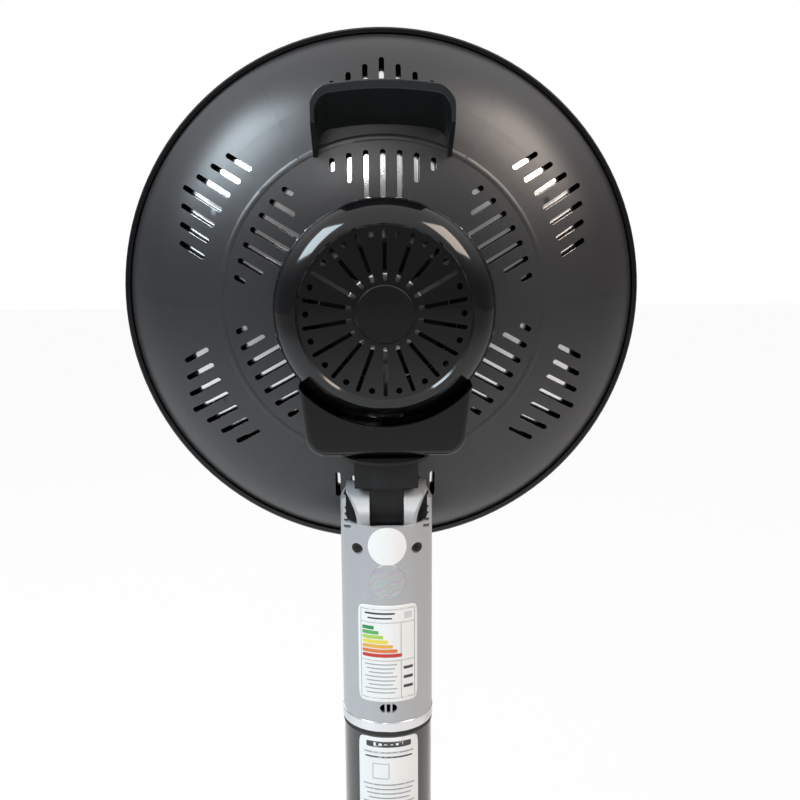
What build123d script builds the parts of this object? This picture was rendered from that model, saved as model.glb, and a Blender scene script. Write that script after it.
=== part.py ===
"""Dish heater with a fan, on a round column and a weighted base.

Millimetres. The origin is on the floor under the column's axis, +Z is up, and the
heater's front (the side that glows) faces -Y.
"""
from build123d import *
import math
import os

# Stand
BASE_R = 175.0            # radius of the round foot
BASE_SIDE_H = 18.0        # straight side of the base cover
BASE_CROWN_H = 20.0       # rise of the crown from that side to the collar
BASE_WALL = 2.6
COLLAR_R = 47.0           # raised collar round the foot of the tube
COLLAR_H = 12.0
BASE_PLATE_T = 2.0
BASE_PLATE_INSET = 2.0    # plate edge inside the cover's inner wall
WEIGHT_R = 130.0
WEIGHT_HOLE_R = 62.0
WEIGHT_T = 11.0
FOOT_R = 11.0
FOOT_H = 4.0
FOOT_CIRCLE_R = 148.0
FOOT_COUNT = 5
SOCKET_WALL = 3.0
SOCKET_FLANGE_R = 56.0
SOCKET_FLANGE_T = 3.0
SOCKET_H = 52.0
SOCKET_SCREW_CIRCLE_R = 47.0
SOCKET_SCREW_COUNT = 4

# Tilt-over switch in the base
TIP_PLUNGER_R = 4.0
TIP_TRAVEL = 4.0
TIP_FLANGE_R = 6.5
TIP_FLANGE_T = 1.6
TIP_CIRCLE_R = 141.0
TIP_BODY_W = 18.0
TIP_BODY_H = 18.0
TIP_WALL = 1.6

# Cord inlet
GLAND_R = 5.0
GLAND_BORE_R = 3.2
GLAND_FLANGE_R = 6.5
GLAND_FLANGE_T = 2.0
GLAND_LEN = 16.0
GLAND_Z = 8.0             # above the plate

# Column
TUBE_R = 32.6
TUBE_WALL = 1.5
TUBE_TOP_Z = 453.0        # where the tube meets the gasket
PLUG_H = 26.0             # foot of the pivot bracket inside the tube
GASKET_H = 3.0
RING_R = 33.6
RING_H = 8.0
CASING_R = 33.1
CASING_WALL = 2.5
CASING_H = 168.0          # ring to the top of the cheeks
PIVOT_ABOVE_RING = 148.0  # tilt axis above the foot of the casing
CHEEK_CHAMFER = 7.0
REAR_LIP_DROP = 20.0      # rear wall of the casing, below the cheek tops
FRONT_LIP_DROP = 9.0
CHEEK_T = 4.2             # width left of each cheek beside the opening

# Rear screws, louvres and the oval vent of the casing
SCREW_HOLE_R = 3.9
SCREW_X = 21.0
SCREW_BELOW_TOP = 37.5
SCREW_RECESS = 2.5
LOUVRE_COUNT = 4
LOUVRE_PITCH = 4.6
LOUVRE_H = 2.0
LOUVRE_W = 3.6
LOUVRE_X = 28.0
LOUVRE_BELOW_TOP = 5.5
VENT_W = 12.5
VENT_H = 6.6
VENT_ABOVE_RING = 11.0
VENT_RIB = 1.4

# Tilt joint
SADDLE_R = 24.2
SADDLE_WALL = 2.2
TONGUE_W = 23.2
TONGUE_R = 17.0           # half depth of the tongue, and its round lower end
SLOT_GAP = 0.6            # tongue to the sides of its slot
TILT_BOLT_R = 4.0
TILT_WASHER_R = 12.0
TILT_WASHER_T = 1.5
TILT_HEAD_R = 7.0
TILT_HEAD_T = 4.0
TILT_UP = 20.0            # degrees, front up
TILT_DOWN = 15.0          # degrees, front down
BRACKET_T = 2.0
BRACKET_R = 13.0
BRACKET_FOOT_T = 3.0

# Neck
NECK_BLOCK_W = 45.0
NECK_BLOCK_H = 19.0
NECK_REAR_Y = 20.0
SWING_Y = 0.0             # swing axis, on the column's axis
DISC_R = 31.0
DISC_T = 2.0
SPIGOT_R = 10.0
SPIGOT_WASHER_R = 13.0
SPIGOT_WASHER_T = 1.5
SPIGOT_SCREW_R = 2.5
SPIGOT_SCREW_HEAD_R = 5.0
SPIGOT_SCREW_HEAD_T = 2.5

# Swing gears
GEAR_MODULE = 1.25
SWING_GEAR_TEETH = 24
PINION_TEETH = 12
GEAR_T = 5.0
PINION_ANGLE = -30.0      # place of the pinion round the swing axis, from +X
PINION_SHAFT_R = 2.0
SWING_MOTOR_R = 17.0
SWING_MOTOR_T = 9.5
SWING_MOTOR_EAR_R = 4.0

# Dish
DISH_RISE = 148.0         # dish axis above the tilt axis
RIM_Y = -100.0            # plane of the rim
DISH_R = 200.0            # outside of the rim ring
RIM_BAND = 4.0            # width of the rim ring seen from behind
RIM_REAR = 6.0            # rim ring behind the rim plane
RIM_FRONT = 6.0
RIM_LIP_T = 1.8
RIM_LIP_W = 10.0
SHELL_WALL = 2.5
SHELL_EDGE_D = 3.0        # depth of the shell's outer edge
RIM_SLOPE = 61.0
KNEE_R = 150.0            # the two arcs of the bowl meet here
KNEE_SLOPE = 25.5
CENTRE_R = 70.0
CENTRE_SLOPE = 4.0
SHELL_HOLE_R = 58.0
BEAD_R = 119.0            # raised ring line between the slot bands
BEAD_H = 0.45
BEAD_W = 2.4
CREASE_DEG = 0.9
CREASE_H = 0.35
REFLECTOR_GAP = 5.0       # shell to reflector
REFLECTOR_T = 1.0
REFLECTOR_HOLE_R = 48.0

# Cooling slots of the shell
SECTORS = 6
SLOTS_PER_BAND = 7
SLOT_PITCH = 12.1
SLOT_W = 3.9
OUTER_SLOT_TIPS = (169.4, 164.1, 158.3, 152.0)
TOP_SLOT_EXTRA = 7.0      # the slots above the handle reach further out
OUTER_BAND_R = 135.1
INNER_BAND_R = 110.6
INNER_SLOT_TIPS = (66.0, 76.0, 87.0, 95.0)

# Motor housing and its cover
HOUSING_R0 = 75.0         # at the shell
HOUSING_R = 78.0
HOUSING_WALL = 2.5
COVER_D = 92.0            # depth of the joint of housing and cover
PLATE_R = 60.0
PLATE_D = 117.5
PLATE_CROWN = 3.0
BEZEL_LIP = 1.5
COVER_WALL = 2.2
COVER_SLOTS = 18
COVER_SLOT_W = 2.9
COVER_SLOT_R0 = 23.0
COVER_SLOT_R1 = 57.6
COVER_HOLE_R = 2.2
COVER_HOLE_CIRCLE_R = 54.4
HUB_R = 20.3
HUB_T = 1.4
LATCH_W = 20.0
LATCH_H = 4.6
LATCH_PROUD = 0.7
LATCH_R = 69.4

# Swing housing
SWING_TOP_HALF_W = 60.5
SWING_BOTTOM_HALF_W = 54.5
SWING_TOP_DROP = 49.0     # below the dish axis
SWING_BOTTOM_DROP = 100.0
SWING_REAR_Y = 21.0
SWING_WALL = 2.5
SWING_FLOOR_T = 3.0
SWING_CORNER_R = 14.0
LID_T = 4.5
LID_EDGE_R = 4.0

# Handle hood
HANDLE_W = 99.0
HANDLE_LIP_D = 97.0
HANDLE_LIP_Z = 157.0      # above the dish axis
HANDLE_LIP_T = 7.0
HANDLE_ROOT_Z = 133.0
HANDLE_ROOT_T = 6.0
HANDLE_SIDE_T = 3.2
HANDLE_CORNER_R = 15.0
HANDLE_WALL_END_Z = 128.0  # foot of the walls' rear edge
HANDLE_FOOT_Z = 105.0      # where the walls end on the shell
HANDLE_FOOT_D = 60.0
HANDLE_SCREW_X = 30.0
HANDLE_SCREW_R = 1.8
HANDLE_SCREW_REACH = 7.0
HANDLE_SCREW_HEAD_R = 3.6

# Fan
FAN_R = 46.0
FAN_T = 18.0
FAN_D = 65.0              # depth of the fan's front
FAN_HUB_R = 9.0
FAN_PLATE_T = 1.5
FAN_BLADES = 9
FAN_BLADE_T = 1.6
FAN_SHAFT_R = 2.5
FAN_NUT_R = 4.5
FAN_NUT_T = 3.0
MOTOR_R = 28.0
MOTOR_T = 23.0
MOTOR_BOSS_R = 8.0
MOTOR_BOSS_T = 3.0
MOTOR_BRACKET_T = 2.0
MOTOR_BRACKET_ARM_W = 14.0
FAN_TO_BRACKET = 3.0

# Heating tube
TUBE_RING_R = 78.0
TUBE_RING_D = 14.0
QUARTZ_R = 6.0
QUARTZ_WALL = 1.2
TUBE_GAP_DEG = 24.0       # half angle of the ring's gap at the bottom
TUBE_BEND_R = 13.0
FILAMENT_R = 1.4
CAP_W = 17.0
CAP_H = 20.0
CLIP_WIRE_R = 1.2
CLIP_COUNT = 3

# Air outlet
GRILLE_R = 53.0
GRILLE_T = 1.6
GRILLE_SLOTS = 24
GRILLE_SLOT_W = 3.0
GRILLE_SLOT_R0 = 17.0
GRILLE_SLOT_R1 = 44.0

# Front guard
GUARD_WIRE_R = 1.3
GUARD_R = 191.0
GUARD_HUB_R = 30.0
GUARD_HUB_D = -38.0
GUARD_SPOKES = 24
GUARD_RINGS = (66.0, 104.0, 146.0)
GUARD_HUB_T = 3.0
GUARD_CLIPS = 4
CLIP_WALL = 1.5
CLIP_DEG = 5.0

# Control panel
PANEL_W = 38.0
PANEL_H = 118.0
PANEL_T = 2.2
PANEL_FACE = 27.5         # flat face ahead of the column's axis
PANEL_ABOVE_RING = 17.0
PANEL_EDGE_R = 5.0
BUTTON_NAMES = ("power", "heat", "swing", "timer")
BUTTON_R = 5.5
BUTTON_PROUD = 1.8
BUTTON_TRAVEL = 1.2
BUTTON_FLANGE_R = 7.0
BUTTON_FLANGE_T = 1.2
BUTTON_PITCH = 17.0
BUTTON_FIRST = 17.0       # first button above the foot of the panel
DISPLAY_W = 24.0
DISPLAY_H = 14.0
DISPLAY_T = 1.6
DISPLAY_BELOW_TOP = 15.0
LENS_R = 3.0
LENS_T = 1.6
LENS_BELOW_TOP = 31.0
BOARD_T = 1.6
BOARD_H = 104.0
SWITCH_W = 6.0

# Clearances
RUN = 0.05                # radial play of a shaft in its bore
SLIDE = 0.3               # play round a moving piece
SEAT = 0.15               # gap between pieces that are fixed together
FIT = 0.3                 # gap between pieces that pass each other
SCREW_HEAD_T = 2.2
SCREW_SHANK_R = 1.6

# Places worked out from the sizes above
FLOOR = FOOT_H
PLATE_TOP = FLOOR + BASE_PLATE_T
BASE_SHOULDER = FLOOR + BASE_SIDE_H
BASE_TOP = BASE_SHOULDER + BASE_CROWN_H
RING_Z = TUBE_TOP_Z + GASKET_H
CASING_Z = RING_Z + RING_H
CASING_TOP = CASING_Z + CASING_H
CASING_IN = CASING_R - CASING_WALL
PIVOT_Z = CASING_Z + PIVOT_ABOVE_RING
DISH_Z = PIVOT_Z + DISH_RISE
BLOCK_Z = PIVOT_Z + SADDLE_R + SLOT_GAP
DISC_Z = BLOCK_Z + NECK_BLOCK_H
SWING_BOTTOM_Z = DISH_Z - SWING_BOTTOM_DROP
SWING_FLOOR_Z = SWING_BOTTOM_Z + SWING_FLOOR_T
GEAR_Z = SWING_FLOOR_Z + FIT
SPIGOT_TOP = GEAR_Z + GEAR_T
GEAR_R = GEAR_MODULE * SWING_GEAR_TEETH / 2
PINION_R = GEAR_MODULE * PINION_TEETH / 2
PINION_REACH = GEAR_R + PINION_R
PINION_X = PINION_REACH * math.cos(math.radians(PINION_ANGLE))
PINION_Y = SWING_Y + PINION_REACH * math.sin(math.radians(PINION_ANGLE))
SHELL_R = DISH_R - RIM_BAND - SEAT
PANEL_Z = CASING_Z + PANEL_ABOVE_RING
PANEL_TOP = PANEL_Z + PANEL_H
FAN_END_D = FAN_D + FAN_T
MOTOR_BRACKET_D = FAN_END_D + FAN_TO_BRACKET
MOTOR_D = MOTOR_BRACKET_D + MOTOR_BRACKET_T
SWING_MOTOR_Z = SPIGOT_TOP + SPIGOT_WASHER_T + 2 * FIT

STEEP = math.radians(RIM_SLOPE)
KNEE = math.radians(KNEE_SLOPE)
FLAT = math.radians(CENTRE_SLOPE)
OUTER_ARC_R = (SHELL_R - KNEE_R) / (math.sin(STEEP) - math.sin(KNEE))
INNER_ARC_R = (KNEE_R - CENTRE_R) / (math.sin(KNEE) - math.sin(FLAT))
OUTER_ARC_C = (KNEE_R - OUTER_ARC_R * math.sin(KNEE), SHELL_EDGE_D - OUTER_ARC_R * math.cos(STEEP))
KNEE_D = OUTER_ARC_C[1] + OUTER_ARC_R * math.cos(KNEE)
INNER_ARC_C = (KNEE_R - INNER_ARC_R * math.sin(KNEE), KNEE_D - INNER_ARC_R * math.cos(KNEE))

# Dish pieces are drawn round +Z, with height as depth behind the rim plane and -Y up
ON_DISH = Pos(0, RIM_Y, DISH_Z) * Rot(-90, 0, 0)


def disc(radius, bottom, height):
    """A plain disc standing on the given height."""
    return Pos(0, 0, bottom + height / 2) * Cylinder(radius, height)


def ring(outer, inner, bottom, height):
    """A plain ring standing on the given height."""
    return disc(outer, bottom, height) - disc(inner, bottom - 1, height + 2)


def block(x0, x1, y0, y1, z0, z1):
    """A box from its two corners."""
    return Pos((x0 + x1) / 2, (y0 + y1) / 2, (z0 + z1) / 2) * Box(x1 - x0, y1 - y0, z1 - z0)


def turned(edges, angle=360):
    """A section of edges, or of corner points, turned about +Z."""
    if not isinstance(edges[0], Edge) and not isinstance(edges[0], BaseLineObject):
        edges = [Polyline(*edges, close=True)]
    return revolve(Plane.XZ * make_face(Curve() + edges), Axis.Z, angle)


def along_y(sketch, y0, y1):
    """A sketch drawn with X and Z as its axes, drawn out from y0 to y1."""
    return extrude(Plane.XZ.offset(-y1) * sketch, y1 - y0)


def around(count, shape, first=0):
    """Copies of a shape, evenly round +Z."""
    return [Rot(0, 0, first + 360 * i / count) * shape for i in range(count)]


def bowl_point(angle, inset):
    """A point of the bowl's section, where its surface has the given slope."""
    if angle >= KNEE:
        centre, radius = OUTER_ARC_C, OUTER_ARC_R
    else:
        centre, radius = INNER_ARC_C, INNER_ARC_R
    return centre[0] + (radius - inset) * math.sin(angle), centre[1] + (radius - inset) * math.cos(angle)


def bowl_line(inset, hole):
    """The bowl's section from its rim to a central hole: two arcs and a straight cone."""
    edge = bowl_point(STEEP, inset)
    knee = bowl_point(KNEE, inset)
    flat = bowl_point(FLAT, inset)
    end = (hole, flat[1] + (flat[0] - hole) * math.tan(FLAT))
    arcs = [ThreePointArc(edge, bowl_point((STEEP + KNEE) / 2, inset), knee),
            ThreePointArc(knee, bowl_point((KNEE * 0.999 + FLAT) / 2, inset), flat),
            Line(flat, end)]
    return arcs, edge, end


def bowl_wall(outer_inset, inner_inset, hole):
    """Edges of a wall that follows the bowl between two insets."""
    outside, outer_edge, outer_end = bowl_line(outer_inset, hole)
    inside, inner_edge, inner_end = bowl_line(inner_inset, hole)
    return outside + [Line(outer_end, inner_end)] + inside + [Line(inner_edge, outer_edge)]


def bowl_depth(radius, inset=0.0):
    """Depth of the bowl's surface at a radius."""
    flat = bowl_point(FLAT, inset)
    if radius <= flat[0]:
        return flat[1] + (flat[0] - radius) * math.tan(FLAT)
    knee = bowl_point(KNEE, inset)
    centre, reach = (OUTER_ARC_C, OUTER_ARC_R) if radius > knee[0] else (INNER_ARC_C, INNER_ARC_R)
    return centre[1] + math.sqrt((reach - inset) ** 2 - (radius - centre[0]) ** 2)


def bowl_plug(inset):
    """Everything ahead of the bowl's surface, to trim what stands on the shell."""
    edges, edge, end = bowl_line(inset, 0.0)
    corner = (0.0, -80.0)
    rim = (edge[0], -80.0)
    return turned(edges + [Line(end, corner), Line(corner, rim), Line(rim, edge)])


def slot_band():
    """All cooling slots of the shell, as one sketch."""
    slots = []
    half = SLOTS_PER_BAND // 2
    for sector in range(SECTORS):
        turn = Rot(0, 0, 90 + 360 * sector / SECTORS)
        for k in range(-half, half + 1):
            side = k * SLOT_PITCH
            tip = OUTER_SLOT_TIPS[abs(k)] + (TOP_SLOT_EXTRA if sector == 3 else 0.0)
            bands = ((math.sqrt(OUTER_BAND_R ** 2 - side ** 2), tip),
                     (INNER_SLOT_TIPS[abs(k)], math.sqrt(INNER_BAND_R ** 2 - side ** 2)))
            for near, far in bands:
                slots.append(turn * Pos((near + far) / 2, side) * SlotOverall(far - near, SLOT_W))
    return Sketch() + slots


def rear_shell():
    """Moulded bowl behind the reflector, with its slots, ring bead and radial creases."""
    shell = turned(bowl_wall(0, SHELL_WALL, SHELL_HOLE_R))
    bead = turned([ThreePointArc((BEAD_R - BEAD_W, bowl_depth(BEAD_R - BEAD_W)),
                                 (BEAD_R, bowl_depth(BEAD_R) + BEAD_H),
                                 (BEAD_R + BEAD_W, bowl_depth(BEAD_R + BEAD_W))),
                   Line((BEAD_R + BEAD_W, bowl_depth(BEAD_R + BEAD_W)),
                        (BEAD_R, bowl_depth(BEAD_R) - SHELL_WALL / 2)),
                   Line((BEAD_R, bowl_depth(BEAD_R) - SHELL_WALL / 2),
                        (BEAD_R - BEAD_W, bowl_depth(BEAD_R - BEAD_W)))])
    crease = turned(bowl_wall(-CREASE_H, SHELL_WALL / 2, HOUSING_R0 + 12), CREASE_DEG)
    crease = crease - disc(HOUSING_R0 + 12, 0, 200)
    crease = crease & disc(DISH_R - 18, -10, 200)
    creases = around(SECTORS, crease, -CREASE_DEG / 2)
    shell = shell + bead + creases
    cutter = Pos(0, 0, -5) * extrude(slot_band(), 120)
    screws = [Pos(x, -handle_screw_height()) * Circle(HANDLE_SCREW_R + SEAT)
              for x in (-HANDLE_SCREW_X, HANDLE_SCREW_X)]
    return ON_DISH * (shell - cutter - extrude(Sketch() + screws, 120))


def rim_ring():
    """Gloss ring that clamps shell, reflector and guard at the rim."""
    inner = DISH_R - RIM_BAND
    section = turned([(inner, RIM_REAR), (DISH_R - 1.2, RIM_REAR), (DISH_R, RIM_REAR - 1.2),
                      (DISH_R, -RIM_FRONT + 1.2), (DISH_R - 1.2, -RIM_FRONT),
                      (inner - RIM_LIP_W, -RIM_FRONT), (inner - RIM_LIP_W, -RIM_FRONT + RIM_LIP_T),
                      (inner, -RIM_FRONT + RIM_LIP_T)])
    return ON_DISH * section


def reflector():
    """Spun bright bowl, with a flat flange caught behind the rim ring's lip."""
    inset = SHELL_WALL + REFLECTOR_GAP
    bowl = turned(bowl_wall(inset, inset + REFLECTOR_T, REFLECTOR_HOLE_R))
    lip_r = bowl_point(STEEP, inset)[0]
    front = -RIM_FRONT + RIM_LIP_T + SEAT
    edge_d = bowl_point(STEEP, inset)[1]
    flange = turned([(lip_r - 1.6, edge_d + 0.6), (lip_r, edge_d), (lip_r + 0.2, front + REFLECTOR_T),
                     (SHELL_R, front + REFLECTOR_T), (SHELL_R, front), (lip_r - 1.2, front)])
    leads = [Pos(x, lead_y()) * Circle(2.5) for x in (-lead_x(), lead_x())]
    return ON_DISH * (bowl + flange - Pos(0, 0, 20) * extrude(Sketch() + leads, 100))


def guard_arc():
    """Centre line of one guard spoke, as points of radius and depth."""
    outer = (GUARD_R, -RIM_FRONT - GUARD_WIRE_R * 1.15 - SEAT)
    hub = (GUARD_HUB_R, GUARD_HUB_D)
    middle = ((outer[0] + hub[0]) / 2, (outer[1] + hub[1]) / 2 - 9.0)
    return outer, middle, hub


def front_guard():
    """Welded wire guard: rings joined by bowed spokes."""
    outer, middle, hub = guard_arc()
    line = ThreePointArc(outer, middle, hub)
    spoke_path = Plane.XZ * line
    spoke = sweep(Plane(spoke_path @ 0, z_dir=spoke_path % 0) * Circle(GUARD_WIRE_R), spoke_path)
    depth_at = guard_depth
    rings = [Pos(0, 0, depth_at(r) + GUARD_WIRE_R) * Torus(r, GUARD_WIRE_R) for r in GUARD_RINGS]
    rings.append(Pos(0, 0, outer[1]) * Torus(GUARD_R, GUARD_WIRE_R * 1.15))
    rings.append(Pos(0, 0, hub[1]) * Torus(GUARD_HUB_R, GUARD_WIRE_R * 1.15))
    guard = rings[0].fuse(*rings[1:], *around(GUARD_SPOKES, spoke))
    return ON_DISH * guard


def guard_depth(radius):
    """Depth of the spokes' centre line at a radius."""
    outer, middle, hub = guard_arc()
    arc = ThreePointArc(outer, middle, hub)
    low, high = 0.0, 1.0
    for _ in range(40):
        half = (low + high) / 2
        if (arc @ half).X > radius:
            low = half
        else:
            high = half
    return (arc @ low).Y


def guard_hub():
    """Blank disc at the guard's centre, seated in its smallest ring."""
    depth = GUARD_HUB_D - GUARD_HUB_T / 2
    plate = disc(GUARD_HUB_R - GUARD_WIRE_R * 1.15 - SEAT, depth, GUARD_HUB_T)
    return ON_DISH * fillet(plate.edges().group_by(Axis.Z)[0], 1.2)


def guard_clips():
    """Clips on the front of the rim ring, over the guard's outer wire."""
    wire_d = guard_arc()[0][1]
    reach = GUARD_WIRE_R * 1.15 + SEAT
    foot = -RIM_FRONT - SEAT
    inner, outer = GUARD_R - reach, GUARD_R + reach
    roof = wire_d - reach
    clip = turned([(inner - CLIP_WALL, foot), (inner - CLIP_WALL, roof - CLIP_WALL),
                   (outer + CLIP_WALL, roof - CLIP_WALL), (outer + CLIP_WALL, foot),
                   (outer, foot), (outer, roof), (inner, roof), (inner, foot)], CLIP_DEG)
    return ON_DISH * Part(children=around(GUARD_CLIPS, clip, 45 + 180 / GUARD_SPOKES - CLIP_DEG / 2))


def heat_path():
    """Centre line of the heating tube: a ring open at the bottom, with legs turned to the rear."""
    half = math.radians(TUBE_GAP_DEG)

    def on_ring(angle):
        return Vector(TUBE_RING_R * math.sin(angle), TUBE_RING_R * math.cos(angle), TUBE_RING_D)

    legs = []
    for side in (-1, 1):
        end = on_ring(side * half)
        tangent = Vector(-side * math.cos(half), math.sin(half), 0)
        back = Vector(0, 0, 1)
        turn = math.radians(45)
        middle = end + tangent * (TUBE_BEND_R * math.sin(turn)) + back * (TUBE_BEND_R * (1 - math.cos(turn)))
        corner = end + tangent * TUBE_BEND_R + back * TUBE_BEND_R
        legs.append((end, middle, corner, Vector(corner.X, corner.Y, cap_depth() + 4)))
    left, right = legs
    bow = ThreePointArc(left[0], on_ring(math.pi), right[0])
    edges = [Line(left[3], left[2]), ThreePointArc(left[2], left[1], left[0]), bow,
             ThreePointArc(right[0], right[1], right[2]), Line(right[2], right[3])]
    return edges


def lead_x():
    """Sideways place of the tube's two legs."""
    half = math.radians(TUBE_GAP_DEG)
    return abs(TUBE_RING_R * math.sin(half) - TUBE_BEND_R * math.cos(half))


def lead_y():
    """Local height of the tube's two legs."""
    half = math.radians(TUBE_GAP_DEG)
    return TUBE_RING_R * math.cos(half) + TUBE_BEND_R * math.sin(half)


def cap_depth():
    """Depth of the front of the ceramic caps, which stand on the reflector."""
    return bowl_depth(lead_y(), SHELL_WALL + REFLECTOR_GAP + REFLECTOR_T) - CAP_H


def heat_tube():
    """Clear quartz tube round the carbon filament."""
    edges = heat_path()
    path = Wire(edges)
    start = Plane(edges[0] @ 0, z_dir=edges[0] % 0)
    body = sweep(start * Circle(QUARTZ_R), path)
    core = sweep(start * Circle(QUARTZ_R - QUARTZ_WALL), path)
    return ON_DISH * (body - core)


def filament():
    """Carbon strand along the ring and the legs, inside the tube."""
    edges = heat_path()
    path = Wire(edges)
    start = Plane(edges[0] @ 0, z_dir=edges[0] % 0)
    return ON_DISH * sweep(start * Circle(FILAMENT_R), path)


def tube_caps():
    """Two ceramic end caps that hold the legs on the reflector."""
    caps = []
    front = cap_depth()
    far = math.hypot(lead_x() + CAP_W / 2, lead_y() + CAP_W / 2)
    back = bowl_depth(far, SHELL_WALL + REFLECTOR_GAP + REFLECTOR_T) - SEAT
    for side in (-1, 1):
        cap = block(-CAP_W / 2, CAP_W / 2, -CAP_W / 2, CAP_W / 2, front, back)
        cap = fillet(cap.edges().filter_by(Axis.Z), 2.5)
        bore = disc(QUARTZ_R + SEAT, front - 1, 5.0 + SEAT)
        lead = disc(FILAMENT_R + SEAT, front, CAP_H + 8)
        caps.append(Pos(side * lead_x(), lead_y()) * (cap - bore - lead))
    return ON_DISH * Part(children=caps)


def tube_clips():
    """Wire posts from the reflector, each ending in an open loop round the tube."""
    clips = []
    inset = SHELL_WALL + REFLECTOR_GAP + REFLECTOR_T + SEAT
    foot = bowl_depth(TUBE_RING_R, inset)
    loop_r = QUARTZ_R + SEAT + CLIP_WIRE_R
    for i in range(CLIP_COUNT):
        post_top = TUBE_RING_D + loop_r
        post = disc(CLIP_WIRE_R, post_top, foot - post_top - 0.6)
        base = disc(3.5, foot - 2.0, 1.4)
        loop = Rot(90, 0, 0) * Torus(loop_r, CLIP_WIRE_R)
        loop = Pos(0, 0, TUBE_RING_D) * loop
        mouth = block(-4.5, 4.5, -5, 5, TUBE_RING_D - loop_r - 3, TUBE_RING_D - loop_r + 3)
        clip = (loop - mouth) + post + base
        turn = 180 / CLIP_COUNT * (i + 0.5) + 180
        clips.append(Rot(0, 0, turn) * Pos(TUBE_RING_R, 0, 0) * clip)
    return ON_DISH * Part(children=clips)


def outlet_grille():
    """Slotted disc over the reflector's central hole, where the fan blows out."""
    back = bowl_depth(GRILLE_R, SHELL_WALL + REFLECTOR_GAP + REFLECTOR_T) - SEAT
    plate = disc(GRILLE_R, back - GRILLE_T, GRILLE_T)
    length = GRILLE_SLOT_R1 - GRILLE_SLOT_R0
    slot = Pos((GRILLE_SLOT_R0 + GRILLE_SLOT_R1) / 2, 0) * SlotOverall(length, GRILLE_SLOT_W)
    cutter = Pos(0, 0, back - GRILLE_T - 1) * extrude(Sketch() + around(GRILLE_SLOTS, slot), GRILLE_T + 2)
    return ON_DISH * (plate - cutter)


def cover_line(inset):
    """Section of the cover's bezel and plate, inset from the outside."""
    side = (HOUSING_R - inset, COVER_D + SEAT)
    crest = (PLATE_R + BEZEL_LIP, PLATE_D + BEZEL_LIP - inset)
    reach_r = side[0] - crest[0]
    reach_d = crest[1] - side[1]
    bow = (crest[0] + reach_r * math.cos(math.radians(45)), side[1] + reach_d * math.sin(math.radians(45)))
    edge = (PLATE_R - inset * 0.4, PLATE_D - inset)
    pole = (0.0, PLATE_D + PLATE_CROWN - inset)
    sweep_r = (edge[0] ** 2 + PLATE_CROWN ** 2) / (2 * PLATE_CROWN)
    rise = (edge[0] / 2, pole[1] - sweep_r + math.sqrt(sweep_r ** 2 - edge[0] ** 2 / 4))
    return [ThreePointArc(side, bow, crest), Line(crest, edge), ThreePointArc(edge, rise, pole)], side, pole


def cover_solid(inset):
    """Solid dome bounded by the cover's section."""
    edges, side, pole = cover_line(inset)
    foot = (side[0], COVER_D - 60.0)
    axis = (0.0, COVER_D - 60.0)
    return turned(edges + [Line(pole, axis), Line(axis, foot), Line(foot, side)])


def motor_cover():
    """Domed cover of the fan motor, with radial slots and small round holes."""
    outside, side, pole = cover_line(0)
    inside, inner_side, inner_pole = cover_line(COVER_WALL)
    shell = turned(outside + [Line(pole, inner_pole)] + inside + [Line(inner_side, side)])
    length = COVER_SLOT_R1 - COVER_SLOT_R0
    slot = Pos((COVER_SLOT_R0 + COVER_SLOT_R1) / 2, 0) * SlotOverall(length, COVER_SLOT_W)
    hole = Pos(COVER_HOLE_CIRCLE_R, 0) * Circle(COVER_HOLE_R)
    step = 360 / COVER_SLOTS
    cuts = around(COVER_SLOTS, slot, 90) + around(COVER_SLOTS, hole, 90 + step / 2)
    for cut in cuts:
        shell = shell - Pos(0, 0, PLATE_D - 15) * extrude(cut, 40)
    return ON_DISH * shell


def hub_cap():
    """Plain disc at the middle of the cover."""
    foot = PLATE_D + PLATE_CROWN + SEAT
    drop = PLATE_CROWN * (HUB_R / PLATE_R) ** 2
    top = PLATE_D + PLATE_CROWN + HUB_T
    return ON_DISH * turned([(0, foot), (HUB_R, foot - drop), (HUB_R, top - 0.7), (HUB_R - 0.7, top), (0, top)])


def cover_latch():
    """Small push latch low in the bezel."""
    prism = extrude(Pos(0, LATCH_R) * SlotOverall(LATCH_W, LATCH_H), 200)
    skin = cover_solid(-LATCH_PROUD) - cover_solid(-SEAT)
    return ON_DISH * (prism & skin)


def motor_housing():
    """Drum between the shell and the motor cover."""
    front = bowl_depth(HOUSING_R0) + SEAT
    drop = math.tan(FLAT) * HOUSING_WALL
    section = turned([(HOUSING_R0, front), (HOUSING_R, COVER_D), (HOUSING_R - HOUSING_WALL, COVER_D),
                      (HOUSING_R0 - HOUSING_WALL, front + drop)])
    flange = turned([(HOUSING_R0 - HOUSING_WALL + 0.5, front + drop + 3.0), (SHELL_HOLE_R + 4, front + drop + 3.5),
                     (SHELL_HOLE_R + 4, bowl_depth(SHELL_HOLE_R + 4) + SEAT),
                     (HOUSING_R0 - HOUSING_WALL + 0.5, front + drop)])
    return ON_DISH * (section + flange)


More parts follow.
